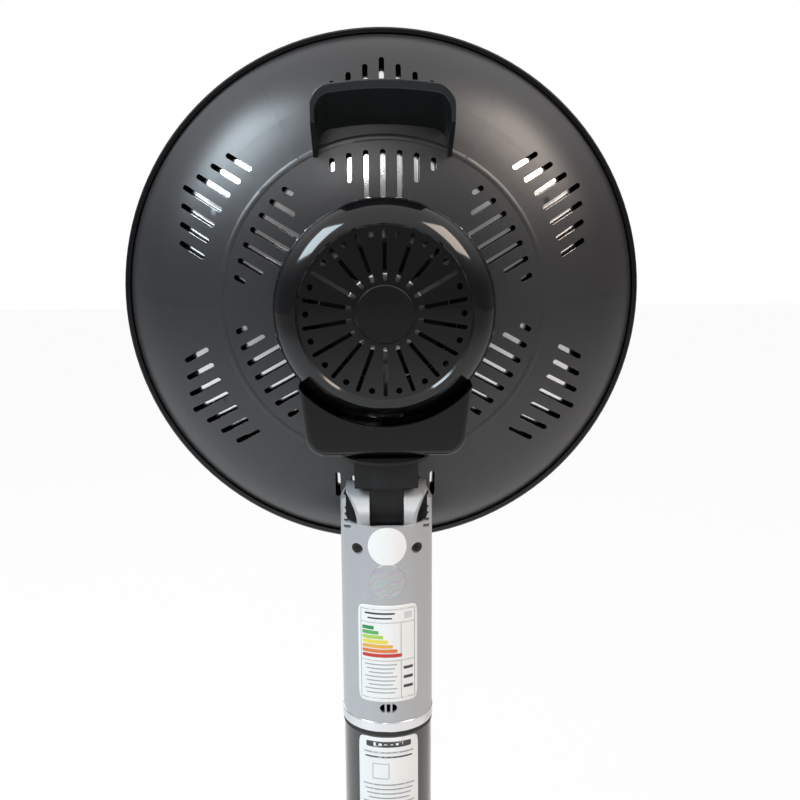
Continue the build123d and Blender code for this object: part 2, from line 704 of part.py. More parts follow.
def fan_wheel():
    """Centrifugal wheel: back plate, hub and curved blades."""
    hub = disc(FAN_HUB_R, FAN_D, FAN_T)
    plate = disc(FAN_R, FAN_END_D - FAN_PLATE_T, FAN_PLATE_T)
    inner, outer = FAN_HUB_R + 6.0, FAN_R - 0.5
    lean = math.radians(28)
    tip = (outer * math.cos(lean), outer * math.sin(lean))
    bow = ((inner + tip[0]) / 2 + 3.0, tip[1] / 2 - 5.0)
    start_low = (inner, -FAN_BLADE_T / 2)
    start_high = (inner, FAN_BLADE_T / 2)
    tip_high = (tip[0] - FAN_BLADE_T, tip[1] + 0.4)
    bow_high = (bow[0] - FAN_BLADE_T * 0.6, bow[1] + FAN_BLADE_T)
    blade = make_face(Curve() + [ThreePointArc(start_low, bow, tip), Line(tip, tip_high),
                                 ThreePointArc(tip_high, bow_high, start_high), Line(start_high, start_low)])
    blades = Pos(0, 0, FAN_D) * extrude(Sketch() + around(FAN_BLADES, blade), FAN_T - FAN_PLATE_T / 2)
    return ON_DISH * (hub + plate + blades - disc(FAN_SHAFT_R, FAN_D - 5, FAN_T + 10))


def fan_shaft():
    """Motor shaft that carries the fan wheel."""
    end = MOTOR_D + MOTOR_T + MOTOR_BOSS_T + 1.5
    return ON_DISH * disc(FAN_SHAFT_R, FAN_D - 0.5, end - FAN_D + 0.5)


def fan_nut():
    """Nut ahead of the fan wheel."""
    height = min(FAN_NUT_T, FAN_D - grille_back() - FIT)
    nut = Pos(0, 0, FAN_D - height) * extrude(RegularPolygon(FAN_NUT_R, 6), height)
    return ON_DISH * (nut - disc(FAN_SHAFT_R, FAN_D - 0.5, 5))


def grille_back():
    """Depth of the back face of the outlet grille."""
    return bowl_depth(GRILLE_R, SHELL_WALL + REFLECTOR_GAP + REFLECTOR_T) - SEAT


def fan_motor():
    """Round motor behind the fan, with a bearing boss at each end."""
    body = disc(MOTOR_R, MOTOR_D, MOTOR_T)
    body = fillet(body.edges(), 2.0)
    body = body + disc(MOTOR_BOSS_R, MOTOR_D - MOTOR_BRACKET_T - 0.5, MOTOR_T + MOTOR_BRACKET_T + MOTOR_BOSS_T)
    return ON_DISH * (body - disc(FAN_SHAFT_R + RUN, MOTOR_D - 10, MOTOR_T + 30))


def motor_bracket():
    """Three-armed steel plate that carries the motor in the drum."""
    reach = HOUSING_R0 + (HOUSING_R - HOUSING_R0) * 0.8 - HOUSING_WALL - 0.5
    plate = disc(MOTOR_R * 0.8, MOTOR_BRACKET_D, MOTOR_BRACKET_T)
    arm = block(0, reach - SEAT, -MOTOR_BRACKET_ARM_W / 2, MOTOR_BRACKET_ARM_W / 2,
                MOTOR_BRACKET_D, MOTOR_BRACKET_D + MOTOR_BRACKET_T)
    arms = [Rot(0, 0, 90 + 120 * i) * arm for i in range(3)]
    bracket = plate.fuse(*arms) & disc(reach - SEAT, MOTOR_BRACKET_D - 1, 10)
    return ON_DISH * (bracket - disc(MOTOR_BOSS_R + SEAT, MOTOR_BRACKET_D - 2, 10))


def thermal_cutout():
    """Small round cut-out on the motor bracket."""
    body = disc(7.0, MOTOR_BRACKET_D + MOTOR_BRACKET_T + SEAT, 6.0)
    ears = block(-11, 11, -3, 3, MOTOR_BRACKET_D + MOTOR_BRACKET_T + SEAT, MOTOR_BRACKET_D + MOTOR_BRACKET_T + 1)
    place = MOTOR_R + 18.0
    return ON_DISH * Rot(0, 0, 90) * Pos(place, 0, 0) * (body + Rot(0, 0, 90) * ears)


def swing_outline(inset):
    """Trapezoid of the swing housing seen from behind, with round lower corners."""
    top_w = SWING_TOP_HALF_W - inset
    bottom_w = SWING_BOTTOM_HALF_W - inset
    lean = (SWING_TOP_HALF_W - SWING_BOTTOM_HALF_W) / (SWING_BOTTOM_DROP - SWING_TOP_DROP)
    low = DISH_Z - SWING_BOTTOM_DROP + inset
    high = DISH_Z - SWING_TOP_DROP + 3.0
    corners = [(-bottom_w, low), (bottom_w, low), (top_w + 3 * lean, high), (-top_w - 3 * lean, high)]
    face = make_face(Polyline(*corners, close=True))
    lower = face.vertices().group_by(Axis.Y)[0]
    return fillet(lower, max(SWING_CORNER_R - inset, 2.0))


def drum_solid(gap):
    """Room kept for the drum and its cover and behind them, grown by a gap."""
    front = bowl_depth(HOUSING_R0)
    beyond = PLATE_D + 20.0
    return ON_DISH * turned([(0, front - 20), (HOUSING_R0 + gap, front - 20), (HOUSING_R0 + gap, front),
                             (HOUSING_R + gap + 0.5, COVER_D), (HOUSING_R + gap + 0.5, beyond), (0, beyond)])


def swing_housing():
    """Box below the drum that holds the swing gears; open at the rear."""
    lid_front = SWING_REAR_Y - LID_T
    outside = along_y(swing_outline(0), RIM_Y + 40, lid_front - SEAT)
    body = outside - ON_DISH * bowl_plug(-BEAD_H - SEAT) - drum_solid(SEAT)
    front_y = RIM_Y + bowl_depth(SWING_BOTTOM_DROP) + SWING_WALL
    cavity = along_y(swing_outline(SWING_WALL), front_y, lid_front + 1)
    cavity = cavity & block(-100, 100, -100, 100, SWING_FLOOR_Z, DISH_Z)
    body = body - cavity
    bore = Pos(0, SWING_Y, 0) * disc(SPIGOT_R + RUN, SWING_BOTTOM_Z - 5, 30)
    posts = []
    for place in swing_motor_ears():
        posts.append(Pos(place[0], place[1], 0) * disc(SWING_MOTOR_EAR_R, SWING_FLOOR_Z - 1, SWING_MOTOR_Z - SWING_FLOOR_Z + 1 - SEAT))
    body = body.fuse(*posts)
    return keep_largest(body) - bore


def keep_largest(shape):
    """The main solid, without the slivers that a trim can leave."""
    return Part(sorted(shape.solids(), key=lambda s: s.volume)[-1].wrapped)


def swing_motor_ears():
    """Places of the two screw ears of the swing motor."""
    reach = SWING_MOTOR_R + SWING_MOTOR_EAR_R * 0.4
    turn = math.radians(PINION_ANGLE + 40)
    dx, dy = reach * math.cos(turn), reach * math.sin(turn)
    return (PINION_X + dx, PINION_Y + dy), (PINION_X - dx * 0.26, PINION_Y - dy - reach * 0.82)


def swing_lid():
    """Rear panel of the swing housing, with a rounded edge."""
    plate = along_y(swing_outline(0), SWING_REAR_Y - LID_T, SWING_REAR_Y)
    edges = plate.edges().filter_by(lambda e: e.center().Y > SWING_REAR_Y - 0.01
                                    and e.center().Z < DISH_Z - SWING_TOP_DROP + 2.0)
    plate = fillet(edges, LID_EDGE_R)
    return keep_largest(plate - drum_solid(FIT))


def gear(teeth, first_angle, thickness):
    """A spur gear with straight-sided teeth; one tooth stands at the first angle."""
    pitch = 360 / teeth
    radius = GEAR_MODULE * teeth / 2
    tip, root = radius + 0.85 * GEAR_MODULE, radius - 1.15 * GEAR_MODULE
    points = []
    for i in range(teeth):
        centre = first_angle + i * pitch
        for reach, share in ((root, -0.31), (tip, -0.13), (tip, 0.13), (root, 0.31)):
            angle = math.radians(centre + share * pitch)
            points.append((reach * math.cos(angle), reach * math.sin(angle)))
    return extrude(make_face(Polyline(*points, close=True)), thickness)


def swing_gear():
    """Gear fixed on the neck's spigot, which the pinion climbs round."""
    gap_angle = PINION_ANGLE + 180 / SWING_GEAR_TEETH
    wheel = gear(SWING_GEAR_TEETH, gap_angle, GEAR_T) - disc(SPIGOT_R + RUN, -1, GEAR_T + 2)
    return Pos(0, SWING_Y, GEAR_Z) * wheel


def swing_pinion():
    """Pinion and its shaft, driven by the swing motor."""
    wheel = gear(PINION_TEETH, PINION_ANGLE + 180, GEAR_T)
    shaft = disc(PINION_SHAFT_R, GEAR_T - 1, SWING_MOTOR_Z - GEAR_Z - GEAR_T + 5)
    return Pos(PINION_X, PINION_Y, GEAR_Z) * (wheel + shaft)


def swing_motor():
    """Flat geared motor that turns the pinion."""
    body = Pos(PINION_X, PINION_Y, 0) * disc(SWING_MOTOR_R, SWING_MOTOR_Z, SWING_MOTOR_T)
    ears = [Pos(x, y, 0) * disc(SWING_MOTOR_EAR_R, SWING_MOTOR_Z, 2.0) for x, y in swing_motor_ears()]
    body = body.fuse(*ears)
    bore = Pos(PINION_X, PINION_Y, 0) * disc(PINION_SHAFT_R + RUN, SWING_MOTOR_Z - 1, 5.5)
    return body - bore - drum_solid(SEAT)


def handle_screw_height():
    """Height of the handle's two screws above the dish axis."""
    return HANDLE_ROOT_Z - HANDLE_ROOT_T / 2


def hood_section(top, thickness, side):
    """Arch seen from behind, from its top down to well below the hood."""
    half = HANDLE_W / 2 - side
    high = top - thickness
    crown = 2.5
    low = 60.0
    radius = HANDLE_CORNER_R - side
    lean = math.radians(45)
    corner = (half - radius + radius * math.cos(lean), high - crown - radius + radius * math.sin(lean))
    return make_face(Curve() + [
        ThreePointArc((-half + radius, high - crown), (0, high), (half - radius, high - crown)),
        ThreePointArc((half - radius, high - crown), corner, (half, high - crown - radius)),
        Line((half, high - crown - radius), (half, low)),
        Line((half, low), (-half, low)),
        Line((-half, low), (-half, high - crown - radius)),
        ThreePointArc((-half, high - crown - radius), (-corner[0], corner[1]), (-half + radius, high - crown))])


def handle():
    """Hood that takes the fingers, open to the rear and below."""
    root_d = bowl_depth(HANDLE_ROOT_Z)
    rear = Plane.XZ.offset(-HANDLE_LIP_D)
    slope = (HANDLE_LIP_Z - HANDLE_ROOT_Z) / (HANDLE_LIP_D - root_d)
    back = root_d - 12.0
    root_top = HANDLE_ROOT_Z - slope * 12.0
    outer = loft([Plane.XZ.offset(-back) * hood_section(root_top, 0, 0),
                  rear * hood_section(HANDLE_LIP_Z, 0, 0)])
    beyond = 2.0
    inner = loft([Plane.XZ.offset(-back) * hood_section(root_top, HANDLE_ROOT_T, HANDLE_SIDE_T),
                  Plane.XZ.offset(-HANDLE_LIP_D - beyond)
                  * hood_section(HANDLE_LIP_Z + slope * beyond, HANDLE_LIP_T, HANDLE_SIDE_T)])
    hood = outer - inner
    below = Polyline((HANDLE_LIP_D + 5, HANDLE_WALL_END_Z + 3), (HANDLE_LIP_D, HANDLE_WALL_END_Z),
                     (HANDLE_FOOT_D, HANDLE_FOOT_Z), (back - 5, HANDLE_FOOT_Z - 3), (back - 5, 40),
                     (HANDLE_LIP_D + 5, 40), close=True)
    cut = extrude(Plane.YZ.offset(-HANDLE_W) * make_face(below), 2 * HANDLE_W)
    hood = Pos(0, RIM_Y, DISH_Z) * (hood - cut)
    hood = keep_largest(hood - ON_DISH * bowl_plug(-BEAD_H - SEAT))
    rim = [e for e in hood.edges() if e.bounding_box().min.Y > RIM_Y + HANDLE_LIP_D - 0.5]
    hood = fillet(rim, 1.0)
    bores = [Pos(x, 0, DISH_Z + handle_screw_height()) * handle_bore(root_d)
             for x in (-HANDLE_SCREW_X, HANDLE_SCREW_X)]
    return hood - bores[0] - bores[1]


def handle_bore(root_d):
    """Blind hole for one of the handle's screws."""
    return along_y(Circle(HANDLE_SCREW_R + SEAT), RIM_Y, RIM_Y + root_d + HANDLE_SCREW_REACH - 2.0)


def handle_screws():
    """Two screws from inside the shell into the hood's root."""
    corner = math.hypot(HANDLE_SCREW_X + HANDLE_SCREW_HEAD_R, handle_screw_height() + HANDLE_SCREW_HEAD_R)
    depth = bowl_depth(corner, SHELL_WALL) - SEAT
    screws = []
    for x in (-HANDLE_SCREW_X, HANDLE_SCREW_X):
        head = disc(HANDLE_SCREW_HEAD_R, depth - 2.0, 2.0)
        shank = disc(HANDLE_SCREW_R, depth - 1.0, HANDLE_SCREW_REACH + 3.0)
        screws.append(Pos(x, -handle_screw_height(), 0) * (head + shank))
    return ON_DISH * Part(children=screws)


def neck():
    """Neck: block under the swivel disc, tongue down to the tilt bolt, spigot up into the head."""
    half = NECK_BLOCK_W / 2
    block_part = block(-half, half, SWING_Y, NECK_REAR_Y, BLOCK_Z, DISC_Z)
    nose = Pos(0, SWING_Y, 0) * disc(half, BLOCK_Z, NECK_BLOCK_H)
    tongue = block(-TONGUE_W / 2, TONGUE_W / 2, -TONGUE_R, TONGUE_R, PIVOT_Z, BLOCK_Z + 1)
    foot = Pos(0, 0, PIVOT_Z) * Rot(0, 90, 0) * Cylinder(TONGUE_R, TONGUE_W)
    spigot = Pos(0, SWING_Y, 0) * disc(SPIGOT_R, DISC_Z - 1, SPIGOT_TOP - DISC_Z + 1)
    body = block_part + nose + tongue + foot + spigot
    bolt = Pos(0, 0, PIVOT_Z) * Rot(0, 90, 0) * Cylinder(TILT_BOLT_R + RUN, TONGUE_W + 4)
    screw = Pos(0, SWING_Y, 0) * disc(SPIGOT_SCREW_R, SPIGOT_TOP - 12, 20)
    return body - bolt - screw


def swivel_disc():
    """Thin disc between the neck block and the swing housing."""
    plate = disc(DISC_R, DISC_Z + SEAT, DISC_T) - disc(SPIGOT_R + SEAT, DISC_Z - 1, DISC_T + 5)
    return Pos(0, SWING_Y, 0) * plate


def spigot_washer():
    """Washer that keeps the head on the spigot."""
    plate = disc(SPIGOT_WASHER_R, SPIGOT_TOP, SPIGOT_WASHER_T) - disc(SPIGOT_SCREW_R + SEAT, SPIGOT_TOP - 1, 5)
    return Pos(0, SWING_Y, 0) * plate


def spigot_screw():
    """Screw through the washer into the spigot."""
    top = SPIGOT_TOP + SPIGOT_WASHER_T
    screw = disc(SPIGOT_SCREW_HEAD_R, top, SPIGOT_SCREW_HEAD_T) + disc(SPIGOT_SCREW_R, SPIGOT_TOP - 11, 13)
    return Pos(0, SWING_Y, 0) * screw


def tilt_bolt():
    """Bolt through bracket and tongue, with its head and nut."""
    half = TONGUE_W / 2 + TILT_WASHER_T + BRACKET_T + 2 * SEAT
    shank = Cylinder(TILT_BOLT_R, 2 * half + 2)
    head = Pos(0, 0, half + TILT_HEAD_T / 2) * Cylinder(TILT_HEAD_R, TILT_HEAD_T)
    nut = Pos(0, 0, -half - TILT_HEAD_T) * extrude(RegularPolygon(TILT_HEAD_R, 6), TILT_HEAD_T)
    return Pos(0, 0, PIVOT_Z) * Rot(0, 90, 0) * (shank + head + nut)


def tilt_washers():
    """Two friction washers between the tongue and the bracket."""
    washers = []
    for side in (-1, 1):
        place = side * (TONGUE_W / 2 + SEAT + TILT_WASHER_T / 2)
        washer = Cylinder(TILT_WASHER_R, TILT_WASHER_T) - Cylinder(TILT_BOLT_R + SEAT, TILT_WASHER_T + 2)
        washers.append(Pos(place, 0, PIVOT_Z) * Rot(0, 90, 0) * washer)
    return Part(children=washers)


def pivot_bracket():
    """Steel fork inside the casing, standing on the column tube."""
    inner = TONGUE_W / 2 + 2 * SEAT + TILT_WASHER_T
    plug_r = TUBE_R - TUBE_WALL - SEAT
    foot_z = CASING_Z + BRACKET_FOOT_T
    body = ring(plug_r, plug_r - BRACKET_T, CASING_Z - PLUG_H, PLUG_H)
    body = body + disc(CASING_IN - SEAT, CASING_Z - 0.5, BRACKET_FOOT_T + 0.5)
    for side in (-1, 1):
        near, far = sorted((side * inner, side * (inner + BRACKET_T)))
        arm = block(near, far, -BRACKET_R, BRACKET_R, foot_z - 0.5, PIVOT_Z)
        head = Pos((near + far) / 2, 0, PIVOT_Z) * Rot(0, 90, 0) * Cylinder(BRACKET_R, BRACKET_T)
        body = body + arm + head
    hole = Pos(0, 0, PIVOT_Z) * Rot(0, 90, 0) * Cylinder(TILT_BOLT_R + SEAT, 60)
    return body - hole


def casing_body():
    """Whole round casing before it is split into its two halves."""
    body = ring(CASING_R, CASING_IN, CASING_Z, CASING_H)
    corner = CHEEK_CHAMFER
    for side in (-1, 1):
        wedge = Polyline((side * (CASING_R + 1), CASING_TOP + 1), (side * (CASING_R - corner), CASING_TOP + 1),
                         (side * (CASING_R - corner), CASING_TOP), (side * CASING_R, CASING_TOP - corner),
                         (side * (CASING_R + 1), CASING_TOP - corner), close=True)
        body = body - along_y(make_face(wedge), -CASING_R - 5, CASING_R + 5)
    half = CASING_R - CHEEK_T
    rear = block(-half, half, 0, CASING_R + 5, CASING_TOP - REAR_LIP_DROP, CASING_TOP + 5)
    rear = fillet(rear.edges().filter_by(Axis.Y).group_by(Axis.Z)[0], 5.0)
    front = block(-half, half, -CASING_R - 5, 0, CASING_TOP - FRONT_LIP_DROP, CASING_TOP + 5)
    front = fillet(front.edges().filter_by(Axis.Y).group_by(Axis.Z)[0], 5.0)
    return body - rear - front


def casing_rear():
    """Rear half of the casing, with screw wells, louvres and the oval vent."""
    body = casing_body() & block(-CASING_R - 5, CASING_R + 5, SEAT / 2, CASING_R + 5, CASING_Z - 5, CASING_TOP + 5)
    screw_z = CASING_TOP - SCREW_BELOW_TOP
    wells = []
    for x in (-SCREW_X, SCREW_X):
        face_y = math.sqrt(CASING_R ** 2 - x ** 2)
        well = Pos(x, 0, screw_z) * along_y(Circle(SCREW_HOLE_R + 1.3), SEAT / 2, face_y + 1)
        wells.append(well & disc(CASING_R, CASING_Z, CASING_H))
    body = body.fuse(*wells)
    for x in (-SCREW_X, SCREW_X):
        body = body - Pos(x, 0, screw_z) * along_y(Circle(SCREW_SHANK_R + SEAT), -1, CASING_R)
        body = body - Pos(x, 0, screw_z) * along_y(Circle(SCREW_HOLE_R), screw_seat_y(), CASING_R + 2)
    for side in (-1, 1):
        for i in range(LOUVRE_COUNT):
            z = CASING_TOP - LOUVRE_BELOW_TOP - i * LOUVRE_PITCH - 4.5
            width = LOUVRE_W + i * 0.5
            cut = Rot(0, side * 25, 0) * Box(width, 2 * CASING_R, LOUVRE_H)
            body = body - Pos(side * LOUVRE_X, CASING_R + 2, z) * cut
    vent_z = CASING_Z + VENT_ABOVE_RING
    oval = Pos(0, 0, vent_z) * along_y(SlotOverall(VENT_W, VENT_H), CASING_IN - 6, CASING_R + 5)
    ribs = [block(x - VENT_RIB / 2, x + VENT_RIB / 2, 0, 60, vent_z - VENT_H, vent_z + VENT_H)
            for x in (-VENT_W / 6, VENT_W / 6)]
    return body - (oval - ribs[0] - ribs[1])


def screw_seat_y():
    """Depth at which the casing screws' heads sit."""
    return math.sqrt(CASING_R ** 2 - SCREW_X ** 2) - SCREW_RECESS - SCREW_HEAD_T


def casing_screws():
    """Two screws that pull the halves of the casing together."""
    screw_z = CASING_TOP - SCREW_BELOW_TOP
    seat = screw_seat_y() + SEAT
    screws = []
    for x in (-SCREW_X, SCREW_X):
        head = Pos(x, 0, screw_z) * along_y(Circle(SCREW_HOLE_R - SEAT), seat, seat + SCREW_HEAD_T)
        cross = block(x - 2.2, x + 2.2, seat + SCREW_HEAD_T - 1, seat + 5, screw_z - 0.45, screw_z + 0.45)
        cross = cross + block(x - 0.45, x + 0.45, seat + SCREW_HEAD_T - 1, seat + 5, screw_z - 2.2, screw_z + 2.2)
        shank = Pos(x, 0, screw_z) * along_y(Circle(SCREW_SHANK_R), -8, seat + 0.5)
        screws.append(head - cross + shank)
    return Part(children=screws)


def casing_front():
    """Front half of the casing, flattened for the control panel, with the screw posts."""
    body = casing_body() & block(-CASING_R - 5, CASING_R + 5, -CASING_R - 5, -SEAT / 2, CASING_Z - 5, CASING_TOP + 5)
    flat_half = PANEL_W / 2 + 2.5
    z0, z1 = PANEL_Z - 3, PANEL_TOP + 3
    back_y = -PANEL_FACE + PANEL_T + SEAT
    pad = block(-flat_half, flat_half, back_y, back_y + 2.5, z0, z1)
    walls = ring(CASING_R, 0.1, z0, z1 - z0) & block(-flat_half, flat_half, -CASING_R, back_y + 2.5, z0, z1)
    body = body + (walls & disc(CASING_R, z0, z1 - z0)) + pad
    body = body - block(-flat_half, flat_half, -CASING_R - 5, -PANEL_FACE, z0 + 1.5, z1 - 1.5)
    recess = Pos(0, 0, (PANEL_Z + PANEL_TOP) / 2) * along_y(
        RectangleRounded(PANEL_W + 2 * SEAT, PANEL_H + 2 * SEAT, PANEL_EDGE_R + SEAT), -CASING_R - 5, back_y)
    body = body - recess
    for x, z, reach in panel_holes(SLIDE + BUTTON_FLANGE_R - BUTTON_R):
        body = body - Pos(x, 0, z) * along_y(Circle(reach), -CASING_R, back_y + 5)
    window = block(-DISPLAY_W / 2 + 2, DISPLAY_W / 2 - 2, -CASING_R, back_y + 5,
                   display_z() - DISPLAY_H / 2 + 2, display_z() + DISPLAY_H / 2 - 2)
    body = body - window
    screw_z = CASING_TOP - SCREW_BELOW_TOP
    for x in (-SCREW_X, SCREW_X):
        post = Pos(x, 0, screw_z) * along_y(Circle(SCREW_HOLE_R + 1.0), back_y, -SEAT / 2)
        body = body + (post & disc(CASING_R - 0.5, CASING_Z, CASING_H))
        body = body - Pos(x, 0, screw_z) * along_y(Circle(SCREW_SHANK_R), -9, 1)
    return body


def button_z(i):
    """Height of a button, counted from the lowest."""
    return PANEL_Z + BUTTON_FIRST + i * BUTTON_PITCH


def display_z():
    """Height of the display's middle."""
    return PANEL_TOP - DISPLAY_BELOW_TOP


def panel_holes(extra):
    """Round holes of the buttons: place and radius."""
    return [(0, button_z(i), BUTTON_R + extra) for i in range(len(BUTTON_NAMES))]


def control_panel():
    """Gloss panel set into the front of the casing."""
    plate = Pos(0, 0, (PANEL_Z + PANEL_TOP) / 2) * along_y(
        RectangleRounded(PANEL_W, PANEL_H, PANEL_EDGE_R), -PANEL_FACE, -PANEL_FACE + PANEL_T)
    for x, z, reach in panel_holes(SLIDE):
        plate = plate - Pos(x, 0, z) * along_y(Circle(reach), -CASING_R, 0)
    recess = block(-DISPLAY_W / 2 - SEAT, DISPLAY_W / 2 + SEAT, -CASING_R, -PANEL_FACE + DISPLAY_T,
                   display_z() - DISPLAY_H / 2 - SEAT, display_z() + DISPLAY_H / 2 + SEAT)
    window = block(-DISPLAY_W / 2 + 2, DISPLAY_W / 2 - 2, -CASING_R, 0,
                   display_z() - DISPLAY_H / 2 + 2, display_z() + DISPLAY_H / 2 - 2)
    lens = Pos(0, 0, PANEL_TOP - LENS_BELOW_TOP) * along_y(Circle(LENS_R + SEAT), -CASING_R, -PANEL_FACE + LENS_T)
    return plate - recess - window - lens


def display_window():
    """Smoked window over the digits."""
    return block(-DISPLAY_W / 2, DISPLAY_W / 2, -PANEL_FACE, -PANEL_FACE + DISPLAY_T - SEAT,
                 display_z() - DISPLAY_H / 2, display_z() + DISPLAY_H / 2)


def receiver_lens():
    """Round lens for the remote control."""
    lens = Pos(0, 0, PANEL_TOP - LENS_BELOW_TOP) * along_y(
        Circle(LENS_R), -PANEL_FACE - 0.8, -PANEL_FACE + LENS_T - SEAT)
    return fillet(lens.edges().group_by(Axis.Y)[0], 0.6)


def button(i):
    """One push button: a round cap with a flange behind the panel."""
    inner_face = -PANEL_FACE + PANEL_T
    flange_y = inner_face + SLIDE
    cap = along_y(Circle(BUTTON_R), -PANEL_FACE - BUTTON_PROUD, flange_y + 0.5)
    cap = fillet(cap.edges().group_by(Axis.Y)[0], 0.9)
    flange = along_y(Circle(BUTTON_FLANGE_R), flange_y, flange_y + BUTTON_FLANGE_T)
    return Pos(0, 0, button_z(i)) * (cap + flange)


def circuit_board():
    """Board with its push switches, screwed to the panel's pad."""
    flange_back = -PANEL_FACE + PANEL_T + SLIDE + BUTTON_FLANGE_T
    switch_y = flange_back + BUTTON_TRAVEL + SLIDE
    board_y = switch_y + 3.5
    middle = (PANEL_Z + PANEL_TOP) / 2
    half_w = PANEL_W / 2 - 3
    board = block(-half_w, half_w, board_y, board_y + BOARD_T, middle - BOARD_H / 2, middle + BOARD_H / 2)
    for i in range(len(BUTTON_NAMES)):
        board = board + block(-SWITCH_W / 2, SWITCH_W / 2, switch_y, board_y + 0.1,
                              button_z(i) - SWITCH_W / 2, button_z(i) + SWITCH_W / 2)
    display = block(-DISPLAY_W / 2 + 3, DISPLAY_W / 2 - 3, -PANEL_FACE + DISPLAY_T + SEAT, board_y + 0.1,
                    display_z() - DISPLAY_H / 2 + 3, display_z() + DISPLAY_H / 2 - 3)
    back_y = -PANEL_FACE + PANEL_T + SEAT + 2.5
    posts = [block(x - 2, x + 2, back_y + SEAT, board_y + 0.1, middle + z - 2, middle + z + 2)
             for x in (-half_w + 3, half_w - 3) for z in (-BOARD_H / 2 + 4, BOARD_H / 2 - 4)]
    return board.fuse(display, *posts)


def saddle():
    """Round-backed cover between the cheeks, slotted for the tongue."""
    barrel = Rot(0, 90, 0) * (Cylinder(SADDLE_R, 2 * CASING_R) - Cylinder(SADDLE_R - SADDLE_WALL, 3 * CASING_R))
    barrel = barrel & block(-CASING_R, CASING_R, -60, 60, -3, 60)
    barrel = barrel & Cylinder(CASING_IN - SEAT, 200)
    slot = block(-TONGUE_W / 2 - SLOT_GAP, TONGUE_W / 2 + SLOT_GAP, -60, 60, -60, 60)
    half = CASING_R - CHEEK_T
    barrel = barrel & block(-half + SEAT, half - SEAT, -60, 60, -60, 60)
    sides = barrel - slot
    bridge = block(-TONGUE_W / 2 - SLOT_GAP - 3, TONGUE_W / 2 + SLOT_GAP + 3, SADDLE_R - SADDLE_WALL - 1.5,
                   SADDLE_R - 0.1, -9, -2.5)
    front_bridge = Pos(0, -2 * SADDLE_R + SADDLE_WALL + 1.6, 0) * bridge
    return Pos(0, 0, PIVOT_Z) * (sides + bridge + front_bridge)


def chrome_ring():
    """Bright ring between casing and tube."""
    body = ring(RING_R, TUBE_R + SEAT, RING_Z, RING_H - SEAT)
    outer = body.edges().filter_by(GeomType.CIRCLE).filter_by(lambda e: e.radius > TUBE_R + 0.5)
    return fillet(outer, 0.8)


def ring_gasket():
    """Thin black gasket under the ring."""
    return ring(RING_R - 0.5, TUBE_R + SEAT, TUBE_TOP_Z, GASKET_H - SEAT)


def column_tube():
    """Gloss steel tube from the base socket into the casing."""
    foot = PLATE_TOP + SOCKET_FLANGE_T + SEAT
    return ring(TUBE_R, TUBE_R - TUBE_WALL, foot, CASING_Z - SEAT - foot)


def tube_socket():
    """Socket inside the foot of the tube, with a flange on the base plate."""
    outer = TUBE_R - TUBE_WALL - SEAT
    body = ring(outer, outer - SOCKET_WALL, PLATE_TOP + SEAT, SOCKET_H)
    body = body + ring(SOCKET_FLANGE_R, outer - SOCKET_WALL, PLATE_TOP + SEAT, SOCKET_FLANGE_T - SEAT)
    for i in range(SOCKET_SCREW_COUNT):
        body = body - Rot(0, 0, 45 + 360 * i / SOCKET_SCREW_COUNT) * Pos(SOCKET_SCREW_CIRCLE_R, 0, 0) * disc(
            SCREW_SHANK_R + SEAT, 0, 40)
    return body


def socket_screws():
    """Screws from under the base plate up through the socket's flange."""
    screws = []
    for i in range(SOCKET_SCREW_COUNT):
        head = disc(3.6, FLOOR - 2.0, 2.0 - SEAT)
        shank = disc(SCREW_SHANK_R, FLOOR - 1, PLATE_TOP + SOCKET_FLANGE_T + 3 - FLOOR)
        screws.append(Rot(0, 0, 45 + 360 * i / SOCKET_SCREW_COUNT) * Pos(SOCKET_SCREW_CIRCLE_R, 0, 0) * (head + shank))
    return Part(children=screws)


def base_cover_section(inset):
    """Section of the base cover's outside, inset for its inside."""
    outer = BASE_R - inset
    shoulder = BASE_SHOULDER
    collar = COLLAR_R - inset
    top = BASE_TOP - inset
    bow = (collar + (outer - collar) * 0.62, shoulder + (top - shoulder) * 0.66)
    return (outer, shoulder), bow, (collar, top)


def base_cover():
    """Crowned plastic cover with a collar round the tube."""
    def solid(inset, extra):
        side, bow, collar = base_cover_section(inset)
        foot = (side[0], FLOOR - extra)
        axis = (0.0, FLOOR - extra)
        high = (collar[0], collar[1] + COLLAR_H)
        pole = (0.0, high[1])
        return turned([Line(foot, side), ThreePointArc(side, bow, collar), Line(collar, high), Line(high, pole),
                       Line(pole, axis), Line(axis, foot)])
    body = solid(0, 0) - solid(BASE_WALL, 1)
    body = body - disc(TUBE_R + FIT, 0, 200)
    upper = [e for e in body.edges().filter_by(GeomType.CIRCLE)
             if e.radius > COLLAR_R - 0.1 and e.center().Z > BASE_TOP + COLLAR_H - 0.1]
    body = fillet(upper, 2.5)
    gland = Pos(0, 0, PLATE_TOP + GLAND_Z) * along_y(Circle(GLAND_R + SEAT), BASE_R - 30, BASE_R + 5)
    return body - gland


def base_weight():
    """Cast iron ring that keeps the stand upright."""
    body = ring(WEIGHT_R, WEIGHT_HOLE_R, PLATE_TOP + SEAT, WEIGHT_T)
    return body


def base_plate():
    """Steel plate that closes the base from below."""
    edge = BASE_R - BASE_WALL - BASE_PLATE_INSET
    body = disc(edge, FLOOR, BASE_PLATE_T)
    body = body - Rot(0, 0, tip_angle()) * Pos(TIP_CIRCLE_R, 0, 0) * disc(TIP_PLUNGER_R + SLIDE, 0, 20)
    for i in range(SOCKET_SCREW_COUNT):
        body = body - Rot(0, 0, 45 + 360 * i / SOCKET_SCREW_COUNT) * Pos(SOCKET_SCREW_CIRCLE_R, 0, 0) * disc(
            SCREW_SHANK_R + SEAT, 0, 20)
    return body


def tip_angle():
    """Place of the tilt-over switch: midway between two feet."""
    return 90 + 180 / FOOT_COUNT


